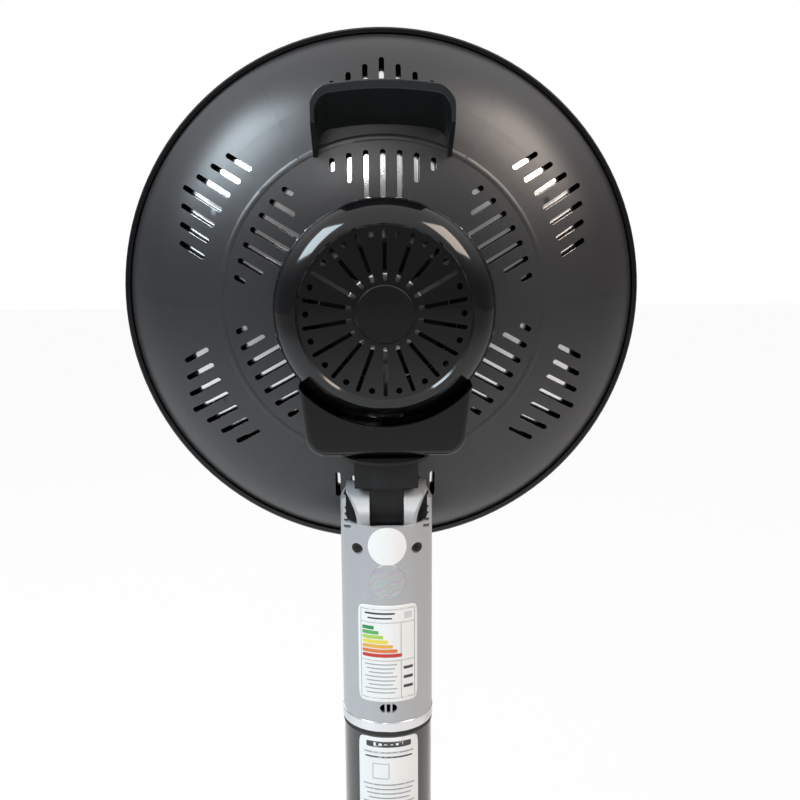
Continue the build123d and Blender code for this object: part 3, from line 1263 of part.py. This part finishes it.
def rubber_feet():
    """Round feet under the plate."""
    foot = fillet(disc(FOOT_R, 0, FOOT_H - SEAT).edges().group_by(Axis.Z)[0], 1.0)
    feet = [Rot(0, 0, 90 + 360 * i / FOOT_COUNT) * Pos(FOOT_CIRCLE_R, 0, 0) * foot for i in range(FOOT_COUNT)]
    return Part(children=feet)


def tip_switch():
    """Housing of the tilt-over switch, standing on the plate."""
    half = TIP_BODY_W / 2
    body = block(-half, half, -half, half, PLATE_TOP + SEAT, PLATE_TOP + TIP_BODY_H)
    flange_room = TIP_TRAVEL + TIP_FLANGE_T + 2 * SLIDE
    room = disc(TIP_FLANGE_R + SLIDE, PLATE_TOP + SEAT - 1, flange_room + 1)
    stem = disc(TIP_PLUNGER_R + SLIDE, PLATE_TOP, TIP_BODY_H - TIP_WALL)
    return Rot(0, 0, tip_angle()) * Pos(TIP_CIRCLE_R, 0, 0) * (body - room - stem)


def tip_plunger():
    """Plunger that the floor holds up while the heater stands."""
    rest = TIP_TRAVEL
    flange_z = PLATE_TOP + SLIDE + rest
    stem = disc(TIP_PLUNGER_R, 0, flange_z + 4.0)
    flange = disc(TIP_FLANGE_R, flange_z, TIP_FLANGE_T)
    return Rot(0, 0, tip_angle()) * Pos(TIP_CIRCLE_R, 0, 0) * (stem + flange)


def cord_gland():
    """Bush for the mains cord in the rear of the base cover."""
    body = along_y(Circle(GLAND_R), BASE_R - BASE_WALL - GLAND_LEN + 4, BASE_R + 0.2)
    flange = along_y(Circle(GLAND_FLANGE_R), BASE_R + 0.2, BASE_R + 0.2 + GLAND_FLANGE_T)
    inner = along_y(Circle(GLAND_FLANGE_R), BASE_R - BASE_WALL - GLAND_FLANGE_T - 0.4, BASE_R - BASE_WALL - 0.4)
    bore = along_y(Circle(GLAND_BORE_R), BASE_R - 60, BASE_R + 20)
    return Pos(0, 0, PLATE_TOP + GLAND_Z) * (body + flange + inner - bore)


PIECES = {
    "rear_shell": rear_shell,
    "rim_ring": rim_ring,
    "reflector": reflector,
    "front_guard": front_guard,
    "guard_hub": guard_hub,
    "guard_clips": guard_clips,
    "heat_tube": heat_tube,
    "filament": filament,
    "tube_caps": tube_caps,
    "tube_clips": tube_clips,
    "outlet_grille": outlet_grille,
    "motor_housing": motor_housing,
    "motor_cover": motor_cover,
    "hub_cap": hub_cap,
    "cover_latch": cover_latch,
    "fan_wheel": fan_wheel,
    "fan_shaft": fan_shaft,
    "fan_nut": fan_nut,
    "fan_motor": fan_motor,
    "motor_bracket": motor_bracket,
    "thermal_cutout": thermal_cutout,
    "swing_housing": swing_housing,
    "swing_lid": swing_lid,
    "swing_gear": swing_gear,
    "swing_pinion": swing_pinion,
    "swing_motor": swing_motor,
    "handle": handle,
    "handle_screws": handle_screws,
    "neck": neck,
    "swivel_disc": swivel_disc,
    "spigot_washer": spigot_washer,
    "spigot_screw": spigot_screw,
    "tilt_bolt": tilt_bolt,
    "tilt_washers": tilt_washers,
    "pivot_bracket": pivot_bracket,
    "casing_rear": casing_rear,
    "casing_front": casing_front,
    "casing_screws": casing_screws,
    "saddle": saddle,
    "control_panel": control_panel,
    "display_window": display_window,
    "receiver_lens": receiver_lens,
    "circuit_board": circuit_board,
    "chrome_ring": chrome_ring,
    "ring_gasket": ring_gasket,
    "column_tube": column_tube,
    "tube_socket": tube_socket,
    "socket_screws": socket_screws,
    "base_cover": base_cover,
    "base_weight": base_weight,
    "base_plate": base_plate,
    "rubber_feet": rubber_feet,
    "tip_switch": tip_switch,
    "tip_plunger": tip_plunger,
    "cord_gland": cord_gland,
}


def main():
    """Write one STEP file for each piece."""
    os.makedirs("parts", exist_ok=True)
    for name, make in PIECES.items():
        export_step(make(), f"parts/{name}.step")
    for i, name in enumerate(BUTTON_NAMES):
        export_step(button(i), f"parts/button_{name}.step")


if __name__ == "__main__":
    main()
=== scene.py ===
import bmesh
import bpy
import math
import numpy as np
from mathutils import Matrix, Vector


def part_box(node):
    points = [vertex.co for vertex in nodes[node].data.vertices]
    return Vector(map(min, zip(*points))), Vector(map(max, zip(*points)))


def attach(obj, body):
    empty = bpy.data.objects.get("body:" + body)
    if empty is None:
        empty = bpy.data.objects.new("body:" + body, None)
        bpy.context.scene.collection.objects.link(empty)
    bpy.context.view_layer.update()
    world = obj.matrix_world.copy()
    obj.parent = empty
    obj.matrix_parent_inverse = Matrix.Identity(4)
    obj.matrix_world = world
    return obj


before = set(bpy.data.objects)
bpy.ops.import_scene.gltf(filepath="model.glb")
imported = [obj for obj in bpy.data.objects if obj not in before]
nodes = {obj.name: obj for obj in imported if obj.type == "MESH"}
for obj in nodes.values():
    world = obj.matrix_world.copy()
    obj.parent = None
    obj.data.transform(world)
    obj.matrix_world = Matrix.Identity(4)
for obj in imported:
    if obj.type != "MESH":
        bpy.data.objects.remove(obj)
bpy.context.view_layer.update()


def outer_radius(node):
    """Outside radius of a round upright node, to a tenth of a millimetre."""
    return round(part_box(node)[1].x, 4)


CASING_R = outer_radius("casing_rear")
TUBE_R = outer_radius("column_tube")
RIM_LOW, RIM_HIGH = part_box("rim_ring")
DISH_Z = round((RIM_LOW.z + RIM_HIGH.z) / 2, 4)


# Materials

class Level:
    """A number socket: an expression on it adds the Math nodes it needs."""

    def __init__(self, finish, socket):
        self.finish = finish
        self.socket = socket

    def _math(self, operation, first, second):
        node = self.finish.node("ShaderNodeMath", {"operation": operation}, {0: first, 1: second})
        return Level(self.finish, node.outputs[0])

    def __add__(self, other):
        return self._math("ADD", self, other)

    def __radd__(self, other):
        return self._math("ADD", other, self)

    def __sub__(self, other):
        return self._math("SUBTRACT", self, other)

    def __rsub__(self, other):
        return self._math("SUBTRACT", other, self)

    def __mul__(self, other):
        return self._math("MULTIPLY", self, other)

    def __rmul__(self, other):
        return self._math("MULTIPLY", other, self)

    def wave(self):
        return self._math("SINE", self, 0.0)

    def or_more(self, other):
        return self._math("MAXIMUM", self, other)


COAT_ROUGHNESS = 0.05


class Finish:
    """A material with one principled shader and helpers that add its nodes."""

    def __init__(self, name, color, roughness, metallic=0.0, coat=0.0, transmission=0.0, ior=1.5,
                 specular=0.5):
        self.material = bpy.data.materials.new(name)
        self.material.use_nodes = True
        self.tree = self.material.node_tree
        self.shader = next(n for n in self.tree.nodes if n.type == "BSDF_PRINCIPLED")
        sockets = self.shader.inputs
        sockets["Base Color"].default_value = (*color, 1.0)
        sockets["Roughness"].default_value = roughness
        sockets["Metallic"].default_value = metallic
        sockets["Coat Weight"].default_value = coat
        sockets["Coat Roughness"].default_value = COAT_ROUGHNESS
        sockets["Transmission Weight"].default_value = transmission
        sockets["IOR"].default_value = ior
        sockets["Specular IOR Level"].default_value = specular
        self.place = self.node("ShaderNodeTexCoord").outputs["Object"]

    def node(self, kind, settings=None, inputs=None):
        """Adds a node: first its settings, such as an operation or a ramp's stops, then its sockets."""
        node = self.tree.nodes.new(kind)
        for key, value in (settings or {}).items():
            if key == "stops":
                ramp = node.color_ramp
                while len(ramp.elements) < len(value):
                    ramp.elements.new(0.5)
                for element, (position, stop) in zip(ramp.elements, value):
                    element.position = position
                    element.color = (*stop, 1.0)
            else:
                setattr(node, key, value)
        for key, value in (inputs or {}).items():
            self.feed(node.inputs[key], value)
        return node

    def feed(self, socket, value):
        """Links a socket to a level or another socket, or sets its value."""
        if isinstance(value, Level):
            value = value.socket
        if isinstance(value, bpy.types.NodeSocket):
            self.tree.links.new(value, socket)
        else:
            socket.default_value = value

    def noise(self, scale, detail=3.0, place=None):
        node = self.node("ShaderNodeTexNoise", None,
                         {"Vector": place or self.place, "Scale": scale, "Detail": detail})
        return Level(self, node.outputs["Fac"])

    def stretched(self, x, y, z):
        """Object coordinates scaled along each axis, which draws a noise out across the larger ones."""
        node = self.node("ShaderNodeMapping", None, {"Vector": self.place, "Scale": (x, y, z)})
        return node.outputs["Vector"]

    def tone(self, mask, light, dark):
        """Base colour that goes from dark to light as the mask goes from 0 to 1."""
        node = self.node("ShaderNodeMix", {"data_type": "RGBA"}, {0: mask, 6: (*dark, 1.0), 7: (*light, 1.0)})
        self.feed(self.shader.inputs["Base Color"], node.outputs[2])
        return self

    def rough(self, level):
        self.feed(self.shader.inputs["Roughness"], level)
        return self

    def bump(self, level, depth, strength=1.0):
        node = self.node("ShaderNodeBump", None, {"Height": level, "Distance": depth, "Strength": strength})
        self.feed(self.shader.inputs["Normal"], node.outputs["Normal"])
        return self


def scaled(color, factor):
    return tuple(c * factor for c in color)


def moulded(name, color, roughness, grain, depth, coat=0.0, spread=0.12, specular=0.5):
    """Moulded plastic: slow colour drift, a fine grain in the gloss and a shallow grain bump."""
    finish = Finish(name, color, roughness, coat=coat, specular=specular)
    drift = finish.noise(9.0, 4.0)
    fine = finish.noise(grain, 2.0)
    finish.tone(drift * 0.7 + fine * 0.3, scaled(color, 1 + spread), scaled(color, 1 - spread))
    finish.rough(drift * 0.10 + (fine * 0.06 + (roughness - 0.08)))
    return finish.bump(fine, depth)


def polished(name, color, roughness, coat=0.0):
    """High gloss: faint dust and wipe marks that show only in the gloss."""
    finish = Finish(name, color, roughness, coat=coat)
    wipes = finish.noise(14.0, 5.0, finish.stretched(1.0, 1.0, 3.0))
    dust = finish.noise(700.0, 1.0)
    finish.tone(wipes, scaled(color, 1.25), scaled(color, 0.8))
    finish.rough(wipes * 0.06 + (dust * 0.03 + (roughness - 0.03)))
    return finish.bump(wipes, 0.00003, 0.4)


def metal(name, color, roughness, along, depth=0.00002):
    """Bare or plated metal with fine marks drawn out along one direction."""
    finish = Finish(name, color, roughness, metallic=1.0)
    marks = finish.noise(60.0, 4.0, finish.stretched(*along))
    finish.tone(marks, scaled(color, 1.06), scaled(color, 0.9))
    finish.rough(marks * 0.14 + (roughness - 0.05))
    return finish.bump(marks, depth, 0.5)


def reflector_finish():
    """Polished spun aluminium: fine turning rings about the dish axis, from the sine of the radius."""
    color = (0.86, 0.86, 0.87)
    finish = Finish("reflector_polished", color, 0.13, metallic=1.0)
    offset = finish.node("ShaderNodeVectorMath", {"operation": "SUBTRACT"},
                         {0: finish.place, 1: (0, 0, DISH_Z)})
    flat = finish.node("ShaderNodeVectorMath", {"operation": "MULTIPLY"},
                       {0: offset.outputs[0], 1: (1, 0, 1)})
    radius = Level(finish, finish.node("ShaderNodeVectorMath", {"operation": "LENGTH"},
                                       {0: flat.outputs[0]}).outputs["Value"])
    rings = (radius * 5200.0 + finish.noise(30.0) * 6.0).wave() * 0.5 + 0.5
    drift = finish.noise(12.0)
    finish.tone(drift, scaled(color, 1.05), scaled(color, 0.88))
    finish.rough(rings * 0.05 + (drift * 0.08 + 0.07))
    return finish.bump(rings, 0.00001, 0.6)


def silver_paint():
    """Silver paint on plastic: small bright flakes in a grey coat, under a soft lacquer."""
    color = (0.45, 0.455, 0.465)
    finish = Finish("casing_silver_paint", color, 0.36, metallic=0.35, coat=0.25)
    flake = finish.node("ShaderNodeTexVoronoi", None, {"Vector": finish.place, "Scale": 2600.0})
    sparkle = Level(finish, flake.outputs["Distance"])
    drift = finish.noise(11.0, 4.0)
    finish.tone(sparkle * 0.5 + drift * 0.5, scaled(color, 1.14), scaled(color, 0.9))
    finish.rough(drift * 0.10 + (sparkle * 0.08 + 0.26))
    return finish.bump(finish.noise(420.0), 0.00003, 0.5)


def board_finish():
    """Solder mask with a network of paler tracks, from the edges of large cells."""
    finish = Finish("board_mask", (0.03, 0.17, 0.07), 0.35, coat=0.3)
    cells = finish.node("ShaderNodeTexVoronoi", {"feature": "DISTANCE_TO_EDGE"},
                        {"Vector": finish.place, "Scale": 260.0})
    track_edge = [(0.02, (0.10, 0.36, 0.14)), (0.08, (0.03, 0.16, 0.07))]
    ramp = finish.node("ShaderNodeValToRGB", {"stops": track_edge}, {"Fac": cells.outputs["Distance"]})
    finish.feed(finish.shader.inputs["Base Color"], ramp.outputs["Color"])
    return finish


def paper_finish(name, color):
    """Coated label stock: faint fibre mottling."""
    finish = Finish(name, color, 0.42, coat=0.15)
    fibres = finish.noise(500.0, 3.0)
    finish.tone(fibres, scaled(color, 1.02), scaled(color, 0.95))
    return finish.rough(fibres * 0.1 + 0.36)


def foil_finish():
    """Rainbow foil: hue follows the height and the width of the disc in slow bands."""
    finish = Finish("foil_rainbow", (0.7, 0.7, 0.72), 0.24, metallic=0.75)
    parts = finish.node("ShaderNodeSeparateXYZ", None, {0: finish.place})
    height = Level(finish, parts.outputs["Z"])
    side = Level(finish, parts.outputs["X"])
    bands = (height * 900.0 + (side * 420.0 + finish.noise(160.0) * 9.0)).wave() * 0.5 + 0.5
    ramp = finish.node("ShaderNodeValToRGB", {"stops": [
        (0.0, (0.48, 0.56, 0.60)), (0.25, (0.52, 0.58, 0.50)), (0.5, (0.62, 0.60, 0.54)),
        (0.75, (0.60, 0.52, 0.55)), (1.0, (0.50, 0.50, 0.60))]}, {"Fac": bands})
    finish.feed(finish.shader.inputs["Base Color"], ramp.outputs["Color"])
    return finish.bump(finish.noise(900.0), 0.00002, 0.5)


def glass_finish(name, color, roughness, transmission):
    """Glass or clear plastic with faint ripples."""
    finish = Finish(name, color, roughness, transmission=transmission, ior=1.46)
    return finish.bump(finish.noise(80.0), 0.00002, 0.4)


shell_satin = moulded("shell_satin", (0.024, 0.0235, 0.025), 0.34, 850.0, 0.00005, specular=0.6)
handle_satin = moulded("handle_satin", (0.007, 0.009, 0.010), 0.3, 850.0, 0.00004, specular=0.5)
gloss = polished("housing_gloss", (0.004, 0.004, 0.0045), 0.08)
satin = moulded("neck_satin", (0.007, 0.007, 0.0075), 0.4, 700.0, 0.00006, specular=0.4)
foot_satin = moulded("foot_satin", (0.02, 0.02, 0.021), 0.38, 600.0, 0.00008, coat=0.1)
silver = silver_paint()
chrome = metal("ring_chrome", (0.80, 0.80, 0.81), 0.10, (1, 1, 6), 0.000005)
wire = metal("guard_wire_chrome", (0.78, 0.78, 0.79), 0.14, (1, 1, 1), 0.000008)
tube_gloss = polished("tube_gloss_paint", (0.022, 0.016, 0.018), 0.12, coat=0.8)
reflective = reflector_finish()
zinc = metal("zinc_plate", (0.58, 0.58, 0.56), 0.32, (1, 1, 4))
pressed = metal("grille_steel", (0.62, 0.62, 0.62), 0.28, (3, 1, 1))
quartz = glass_finish("quartz_clear", (0.96, 0.96, 0.97), 0.02, 1.0)
carbon = moulded("carbon_strand", (0.035, 0.033, 0.032), 0.5, 1500.0, 0.0001, spread=0.3)
ceramic = moulded("ceramic_white", (0.78, 0.75, 0.69), 0.6, 500.0, 0.00008, spread=0.05)
iron = moulded("iron_casting", (0.05, 0.05, 0.052), 0.65, 240.0, 0.0004, spread=0.25)
rubber = moulded("rubber_black", (0.018, 0.018, 0.018), 0.7, 500.0, 0.0001)
nylon = moulded("nylon_natural", (0.72, 0.72, 0.67), 0.45, 400.0, 0.00005, spread=0.05)
smoked = glass_finish("window_smoked", (0.03, 0.03, 0.035), 0.05, 0.4)
red_lens = glass_finish("receiver_red", (0.22, 0.01, 0.015), 0.08, 0.5)
board = board_finish()
key_grey = moulded("key_grey", (0.36, 0.37, 0.38), 0.4, 700.0, 0.00004)
white_paper = paper_finish("label_white", (0.84, 0.84, 0.83))
grey_ink = paper_finish("label_grey_bar", (0.34, 0.35, 0.37))
pale_ink = paper_finish("label_pale_bar", (0.62, 0.63, 0.65))
black_ink = paper_finish("label_black_bar", (0.04, 0.04, 0.045))
green_ink = paper_finish("label_green_bar", (0.02, 0.26, 0.08))
leaf_ink = paper_finish("label_leaf_bar", (0.10, 0.42, 0.10))
lime_ink = paper_finish("label_lime_bar", (0.42, 0.62, 0.10))
yellow_ink = paper_finish("label_yellow_bar", (0.82, 0.66, 0.06))
amber_ink = paper_finish("label_amber_bar", (0.80, 0.42, 0.06))
orange_ink = paper_finish("label_orange_bar", (0.72, 0.20, 0.04))
red_ink = paper_finish("label_red_bar", (0.55, 0.04, 0.03))
foil = foil_finish()

DRESS = {
    shell_satin: ("rear_shell",),
    handle_satin: ("handle",),
    gloss: ("rim_ring", "motor_housing", "motor_cover", "hub_cap", "cover_latch", "swing_housing",
            "swing_lid", "control_panel", "guard_hub", "guard_clips"),
    satin: ("neck", "swivel_disc", "tip_switch", "fan_wheel"),
    foot_satin: ("base_cover",),
    silver: ("casing_rear", "casing_front", "saddle"),
    chrome: ("chrome_ring",),
    wire: ("front_guard",),
    tube_gloss: ("column_tube",),
    reflective: ("reflector",),
    zinc: ("tube_clips", "fan_shaft", "fan_nut", "fan_motor", "motor_bracket", "handle_screws",
           "spigot_washer", "spigot_screw", "tilt_bolt", "pivot_bracket", "socket_screws", "base_plate",
           "swing_motor"),
    pressed: ("outlet_grille",),
    quartz: ("heat_tube",),
    carbon: ("filament",),
    ceramic: ("tube_caps", "thermal_cutout"),
    iron: ("base_weight",),
    rubber: ("rubber_feet", "ring_gasket", "cord_gland", "casing_screws"),
    nylon: ("swing_gear", "swing_pinion", "tilt_washers", "tube_socket", "tip_plunger"),
    smoked: ("display_window",),
    red_lens: ("receiver_lens",),
    board: ("circuit_board",),
    key_grey: ("button_power", "button_heat", "button_swing", "button_timer"),
}

for finish, names in DRESS.items():
    for name in names:
        for slot in nodes[name].material_slots:
            slot.material = finish.material


# Labels and stickers

WELD_REACH = 1e-7


def weld(mesh):
    """Joins the points of a pole into one and turns the faces outwards."""
    work = bmesh.new()
    work.from_mesh(mesh)
    bmesh.ops.remove_doubles(work, verts=work.verts, dist=WELD_REACH)
    bmesh.ops.recalc_face_normals(work, faces=work.faces)
    work.to_mesh(mesh)
    work.free()


def surface(name, points, finish):
    """A closed mesh from a grid of points, on the column casing's body.

    Rows follow one parameter. Columns follow the other, and the last column joins the first.
    """
    rows, columns = points.shape[:2]
    here = np.arange(rows * columns).reshape(rows, columns)
    ahead = np.roll(here, -1, axis=1)
    quads = np.stack([here[:-1], ahead[:-1], ahead[1:], here[1:]], axis=-1).reshape(-1, 4)
    mesh = bpy.data.meshes.new(name)
    mesh.from_pydata(points.reshape(-1, 3).tolist(), [], quads.tolist())
    piece = bpy.data.objects.new(name, mesh)
    bpy.context.collection.objects.link(piece)
    mesh.materials.append(finish.material)
    weld(mesh)
    mesh.shade_smooth()
    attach(piece, "stand")


OUTLINE_POINTS = 96
# From the middle of the face to its edge, down the edge and back underneath
FACE_SHARE = np.array([0, 0.25, 0.5, 0.75, 0.93, 0.985, 1.0, 1.0, 0.75, 0.5, 0.25, 0])
FACE_HEIGHT = np.array([1, 1, 1, 1, 1, 1, 0.8, 0, 0, 0, 0, 0])
LABEL_LIFT = 0.00002
LABEL_THICK = 0.00014
PRINT_LIFT = 0.00016
PRINT_THICK = 0.00004
ROUND, RATING_CORNER, TUBE_CORNER, PRINT_CORNER = 2.0, 14.0, 16.0, 12.0


def sticker(name, x, z, half_width, half_height, radius, finish, power=ROUND,
            lift=LABEL_LIFT, thick=LABEL_THICK):
    """A thin closed patch on a round column.

    Its outline is a superellipse: |x/a|^n + |z/b|^n = 1, swept by the angle, where n is the
    power. The second parameter goes from the middle of the face to its edge, down the edge
    and back under it. Width is laid along the arc, so a point at x stands at the angle
    x / radius.
    """
    turn = np.linspace(0, 2 * np.pi, OUTLINE_POINTS, endpoint=False)
    cosine, sine = np.cos(turn), np.sin(turn)
    reach = (np.abs(cosine) ** power + np.abs(sine) ** power) ** (-1 / power)
    across = x + half_width * np.outer(FACE_SHARE, reach * cosine)
    up = z + half_height * np.outer(FACE_SHARE, reach * sine)
    angle = across / radius
    distance = radius + (lift + thick * FACE_HEIGHT)[:, None]
    points = np.stack([distance * np.sin(angle), distance * np.cos(angle), up], axis=-1)
    surface(name, points, finish)


def printed_bars(prefix, top, radius, bars):
    """Generic print on a label: each bar is (middle x, distance below the top, width, height, ink) in mm."""
    for number, (x, down, wide, tall, ink) in enumerate(bars):
        sticker(f"{prefix}_{number:02d}", x / 1000, top - down / 1000, wide / 2000, tall / 2000, radius, ink,
                PRINT_CORNER, PRINT_LIFT, PRINT_THICK)


# Places of the middles as distances below the dish's axis, in metres
ROUND_STICKER_DROP = 0.162
ROUND_STICKER_R = 0.0140
FOIL_STICKER_DROP = 0.188
FOIL_STICKER_R = 0.0127
RATING_DROP = 0.243
RATING_HALF_W = 0.0228
RATING_HALF_H = 0.0370
TUBE_LABEL_DROP = 0.349
TUBE_LABEL_HALF_W = 0.0235
TUBE_LABEL_HALF_H = 0.0405

sticker("round_sticker", 0.0, DISH_Z - ROUND_STICKER_DROP, ROUND_STICKER_R, ROUND_STICKER_R, CASING_R,
        white_paper)
sticker("foil_sticker", 0.0, DISH_Z - FOIL_STICKER_DROP, FOIL_STICKER_R, FOIL_STICKER_R, CASING_R, foil)
sticker("rating_label", 0.0, DISH_Z - RATING_DROP, RATING_HALF_W, RATING_HALF_H, CASING_R, white_paper,
        RATING_CORNER)

# The rating label's print, in mm: a ruled frame, a heading, seven grade bars, rows and cells
GRADE_LEFT = 19.2
GRADE_TOP = 17.0
GRADE_PITCH = 3.5
GRADE_SHORTEST = 9.0
GRADE_GROWTH = 3.4
GRADE_H = 2.7
ROWS_TOP, ROW_PITCH = 45.0, 3.1
CELLS_TOP, CELL_PITCH = 48.0, 7.2

frame_lines = [(0, 3.0, 41, 0.5, grey_ink), (0, 71.0, 41, 0.5, grey_ink), (0, 13.0, 41, 0.4, grey_ink),
               (20.3, 37.0, 0.5, 68, grey_ink), (-20.3, 37.0, 0.5, 68, grey_ink),
               (-9.5, 26.0, 0.4, 26, grey_ink), (0, 42.0, 41, 0.4, grey_ink), (-9.5, 56.5, 0.4, 29, grey_ink)]
heading = [(6, 6.0, 22, 1.4, black_ink), (6, 9.6, 18, 1.2, black_ink), (-15, 7.8, 6, 5, pale_ink)]
grades = []
for step, ink in enumerate((green_ink, leaf_ink, lime_ink, yellow_ink, amber_ink, orange_ink, red_ink)):
    length = GRADE_SHORTEST + step * GRADE_GROWTH
    grades.append((GRADE_LEFT - length / 2, GRADE_TOP + step * GRADE_PITCH, length, GRADE_H, ink))
rows = [(5.5, ROWS_TOP + i * ROW_PITCH, 24 - (i % 3) * 3, 0.8, grey_ink) for i in range(8)]
cells = [(-15, CELLS_TOP + i * CELL_PITCH, 7.5, 2.2, black_ink) for i in range(3)]
printed_bars("rating_print", DISH_Z - RATING_DROP + RATING_HALF_H, CASING_R,
             frame_lines + heading + grades + rows + cells)

# The tube label's print, in mm: a title bar, an empty box and rows
TUBE_ROWS_TOP, TUBE_ROW_PITCH = 38.0, 3.6

title = [(0, 5.5, 34, 4.6, black_ink), (0, 12.0, 38, 1.2, grey_ink), (0, 15.6, 36, 1.2, black_ink)]
box_lines = [(6, 21.0, 12, 0.5, grey_ink), (6, 33.0, 12, 0.5, grey_ink), (0, 27.0, 0.5, 12, grey_ink),
             (12, 27.0, 0.5, 12, grey_ink)]
tube_rows = [(0, TUBE_ROWS_TOP + i * TUBE_ROW_PITCH, 40 - (i % 4) * 3, 1.0, grey_ink) for i in range(10)]
sticker("tube_label", 0.0, DISH_Z - TUBE_LABEL_DROP, TUBE_LABEL_HALF_W, TUBE_LABEL_HALF_H, TUBE_R,
        white_paper, TUBE_CORNER)
printed_bars("tube_print", DISH_Z - TUBE_LABEL_DROP + TUBE_LABEL_HALF_H, TUBE_R,
             title + box_lines + tube_rows)


# Floor, light and camera

FLOOR_HALF = 6.0
FLOOR_Z = -0.0005
FLOOR_SHOWN = 0.95


def make_floor():
    """A flat pale quad that shows near white to the camera and through glass, and still takes shadow."""
    mesh = bpy.data.meshes.new("floor")
    corners = [(x * FLOOR_HALF, y * FLOOR_HALF, FLOOR_Z) for x, y in ((-1, -1), (1, -1), (1, 1), (-1, 1))]
    mesh.from_pydata(corners, [], [(0, 1, 2, 3)])
    floor = bpy.data.objects.new("floor", mesh)
    bpy.context.collection.objects.link(floor)
    finish = Finish("floor_pale", (0.86, 0.86, 0.86), 0.7)
    finish.tone(finish.noise(3.0), (0.88, 0.88, 0.88), (0.85, 0.85, 0.85))
    rays = finish.node("ShaderNodeLightPath")
    shown = Level(finish, rays.outputs["Is Camera Ray"]).or_more(rays.outputs["Is Transmission Ray"])
    glow = finish.node("ShaderNodeEmission", None, {"Color": (1, 1, 1, 1), "Strength": 1.0})
    mixed = finish.node("ShaderNodeMixShader", None, {
        0: shown * FLOOR_SHOWN, 1: finish.shader.outputs[0], 2: glow.outputs[0]})
    output = next(n for n in finish.tree.nodes if n.type == "OUTPUT_MATERIAL")
    finish.tree.links.new(mixed.outputs[0], output.inputs["Surface"])
    mesh.materials.append(finish.material)


make_floor()

# World: white to the camera, a level fill for matt surfaces, and for gloss a ceiling that pales upwards
FILL_LEVEL = 0.30
WALL_LEVEL = 0.16
CEILING_LEVEL = 1.0
CEILING_START = 0.1
CEILING_FULL = 0.75

world = bpy.data.worlds.new("studio")
bpy.context.scene.world = world
world.use_nodes = True
tree = world.node_tree
tree.nodes.clear()


def world_node(kind, settings, inputs):
    """Adds a node to the world and feeds its sockets."""
    node = tree.nodes.new(kind)
    for key, value in settings.items():
        setattr(node, key, value)
    for key, value in inputs.items():
        if isinstance(value, bpy.types.NodeSocket):
            tree.links.new(value, node.inputs[key])
        else:
            node.inputs[key].default_value = value
    return node


rays = world_node("ShaderNodeLightPath", {}, {}).outputs
direction = world_node("ShaderNodeTexCoord", {}, {}).outputs["Generated"]
height = world_node("ShaderNodeSeparateXYZ", {}, {0: direction}).outputs["Z"]
ceiling = world_node("ShaderNodeMapRange", {"interpolation_type": "SMOOTHSTEP"},
                     {"Value": height, "From Min": CEILING_START, "From Max": CEILING_FULL,
                      "To Min": WALL_LEVEL, "To Max": CEILING_LEVEL})
seen = world_node("ShaderNodeMath", {"operation": "MAXIMUM"},
                  {0: rays["Is Camera Ray"], 1: rays["Is Transmission Ray"]}).outputs[0]
mirrored = world_node("ShaderNodeMix", {"data_type": "FLOAT"},
                      {0: rays["Is Glossy Ray"], 2: FILL_LEVEL, 3: ceiling.outputs[0]}).outputs[0]
strength = world_node("ShaderNodeMix", {"data_type": "FLOAT"}, {0: seen, 2: mirrored, 3: 1.0}).outputs[0]
sky = world_node("ShaderNodeBackground", {}, {"Color": (1.0, 1.0, 1.0, 1.0), "Strength": strength})
world_node("ShaderNodeOutputWorld", {}, {"Surface": sky.outputs[0]})


def softbox(name, place, target, size, watts, color=(1.0, 1.0, 1.0)):
    """A square area lamp that faces its target."""
    lamp = bpy.data.lights.new(name, "AREA")
    lamp.size = size
    lamp.energy = watts
    lamp.color = color
    holder = bpy.data.objects.new(name, lamp)
    bpy.context.collection.objects.link(holder)
    holder.location = place
    holder.rotation_euler = (Vector(target) - Vector(place)).to_track_quat("-Z", "Y").to_euler()


softbox("key_light", (1.25, 0.75, 1.95), (0, 0, 0.82), 0.9, 38.0, (0.78, 0.91, 1.0))
softbox("fill_light", (-1.25, 0.75, 1.95), (0, 0, 0.82), 0.9, 24.0, (1.0, 0.86, 0.75))
softbox("rear_strip", (0.25, 1.9, 1.75), (0, 0, 0.75), 0.35, 5.0)
softbox("front_light", (0.8, -2.0, 1.6), (0, 0, 0.8), 1.2, 14.0)

# The camera was fitted to the photograph's rim, slots and column
CAMERA_PLACE = (0.0107, 0.764, 0.860)
CAMERA_YAW = math.radians(1.58)
CAMERA_PITCH = math.radians(12.11)
CAMERA_ROLL = math.radians(0.3)
CAMERA_LENS = 49.5
CAMERA_SENSOR = 36.0


def make_camera():
    """Looks along -Y and down; its own right and up turn by the roll about that line."""
    level = math.cos(CAMERA_PITCH)
    forward = Vector((-math.sin(CAMERA_YAW) * level, -math.cos(CAMERA_YAW) * level, -math.sin(CAMERA_PITCH)))
    right = forward.cross(Vector((0, 0, 1))).normalized()
    up = right.cross(forward)
    cosine, sine = math.cos(CAMERA_ROLL), math.sin(CAMERA_ROLL)
    right, up = right * cosine - up * sine, up * cosine + right * sine
    data = bpy.data.cameras.new("camera")
    data.lens = CAMERA_LENS
    data.sensor_width = CAMERA_SENSOR
    camera = bpy.data.objects.new("camera", data)
    bpy.context.collection.objects.link(camera)
    turn = Matrix((right, up, -forward)).transposed()
    camera.matrix_world = Matrix.Translation(CAMERA_PLACE) @ turn.to_4x4()
    bpy.context.scene.camera = camera


make_camera()
bpy.context.scene.view_settings.view_transform = "Standard"
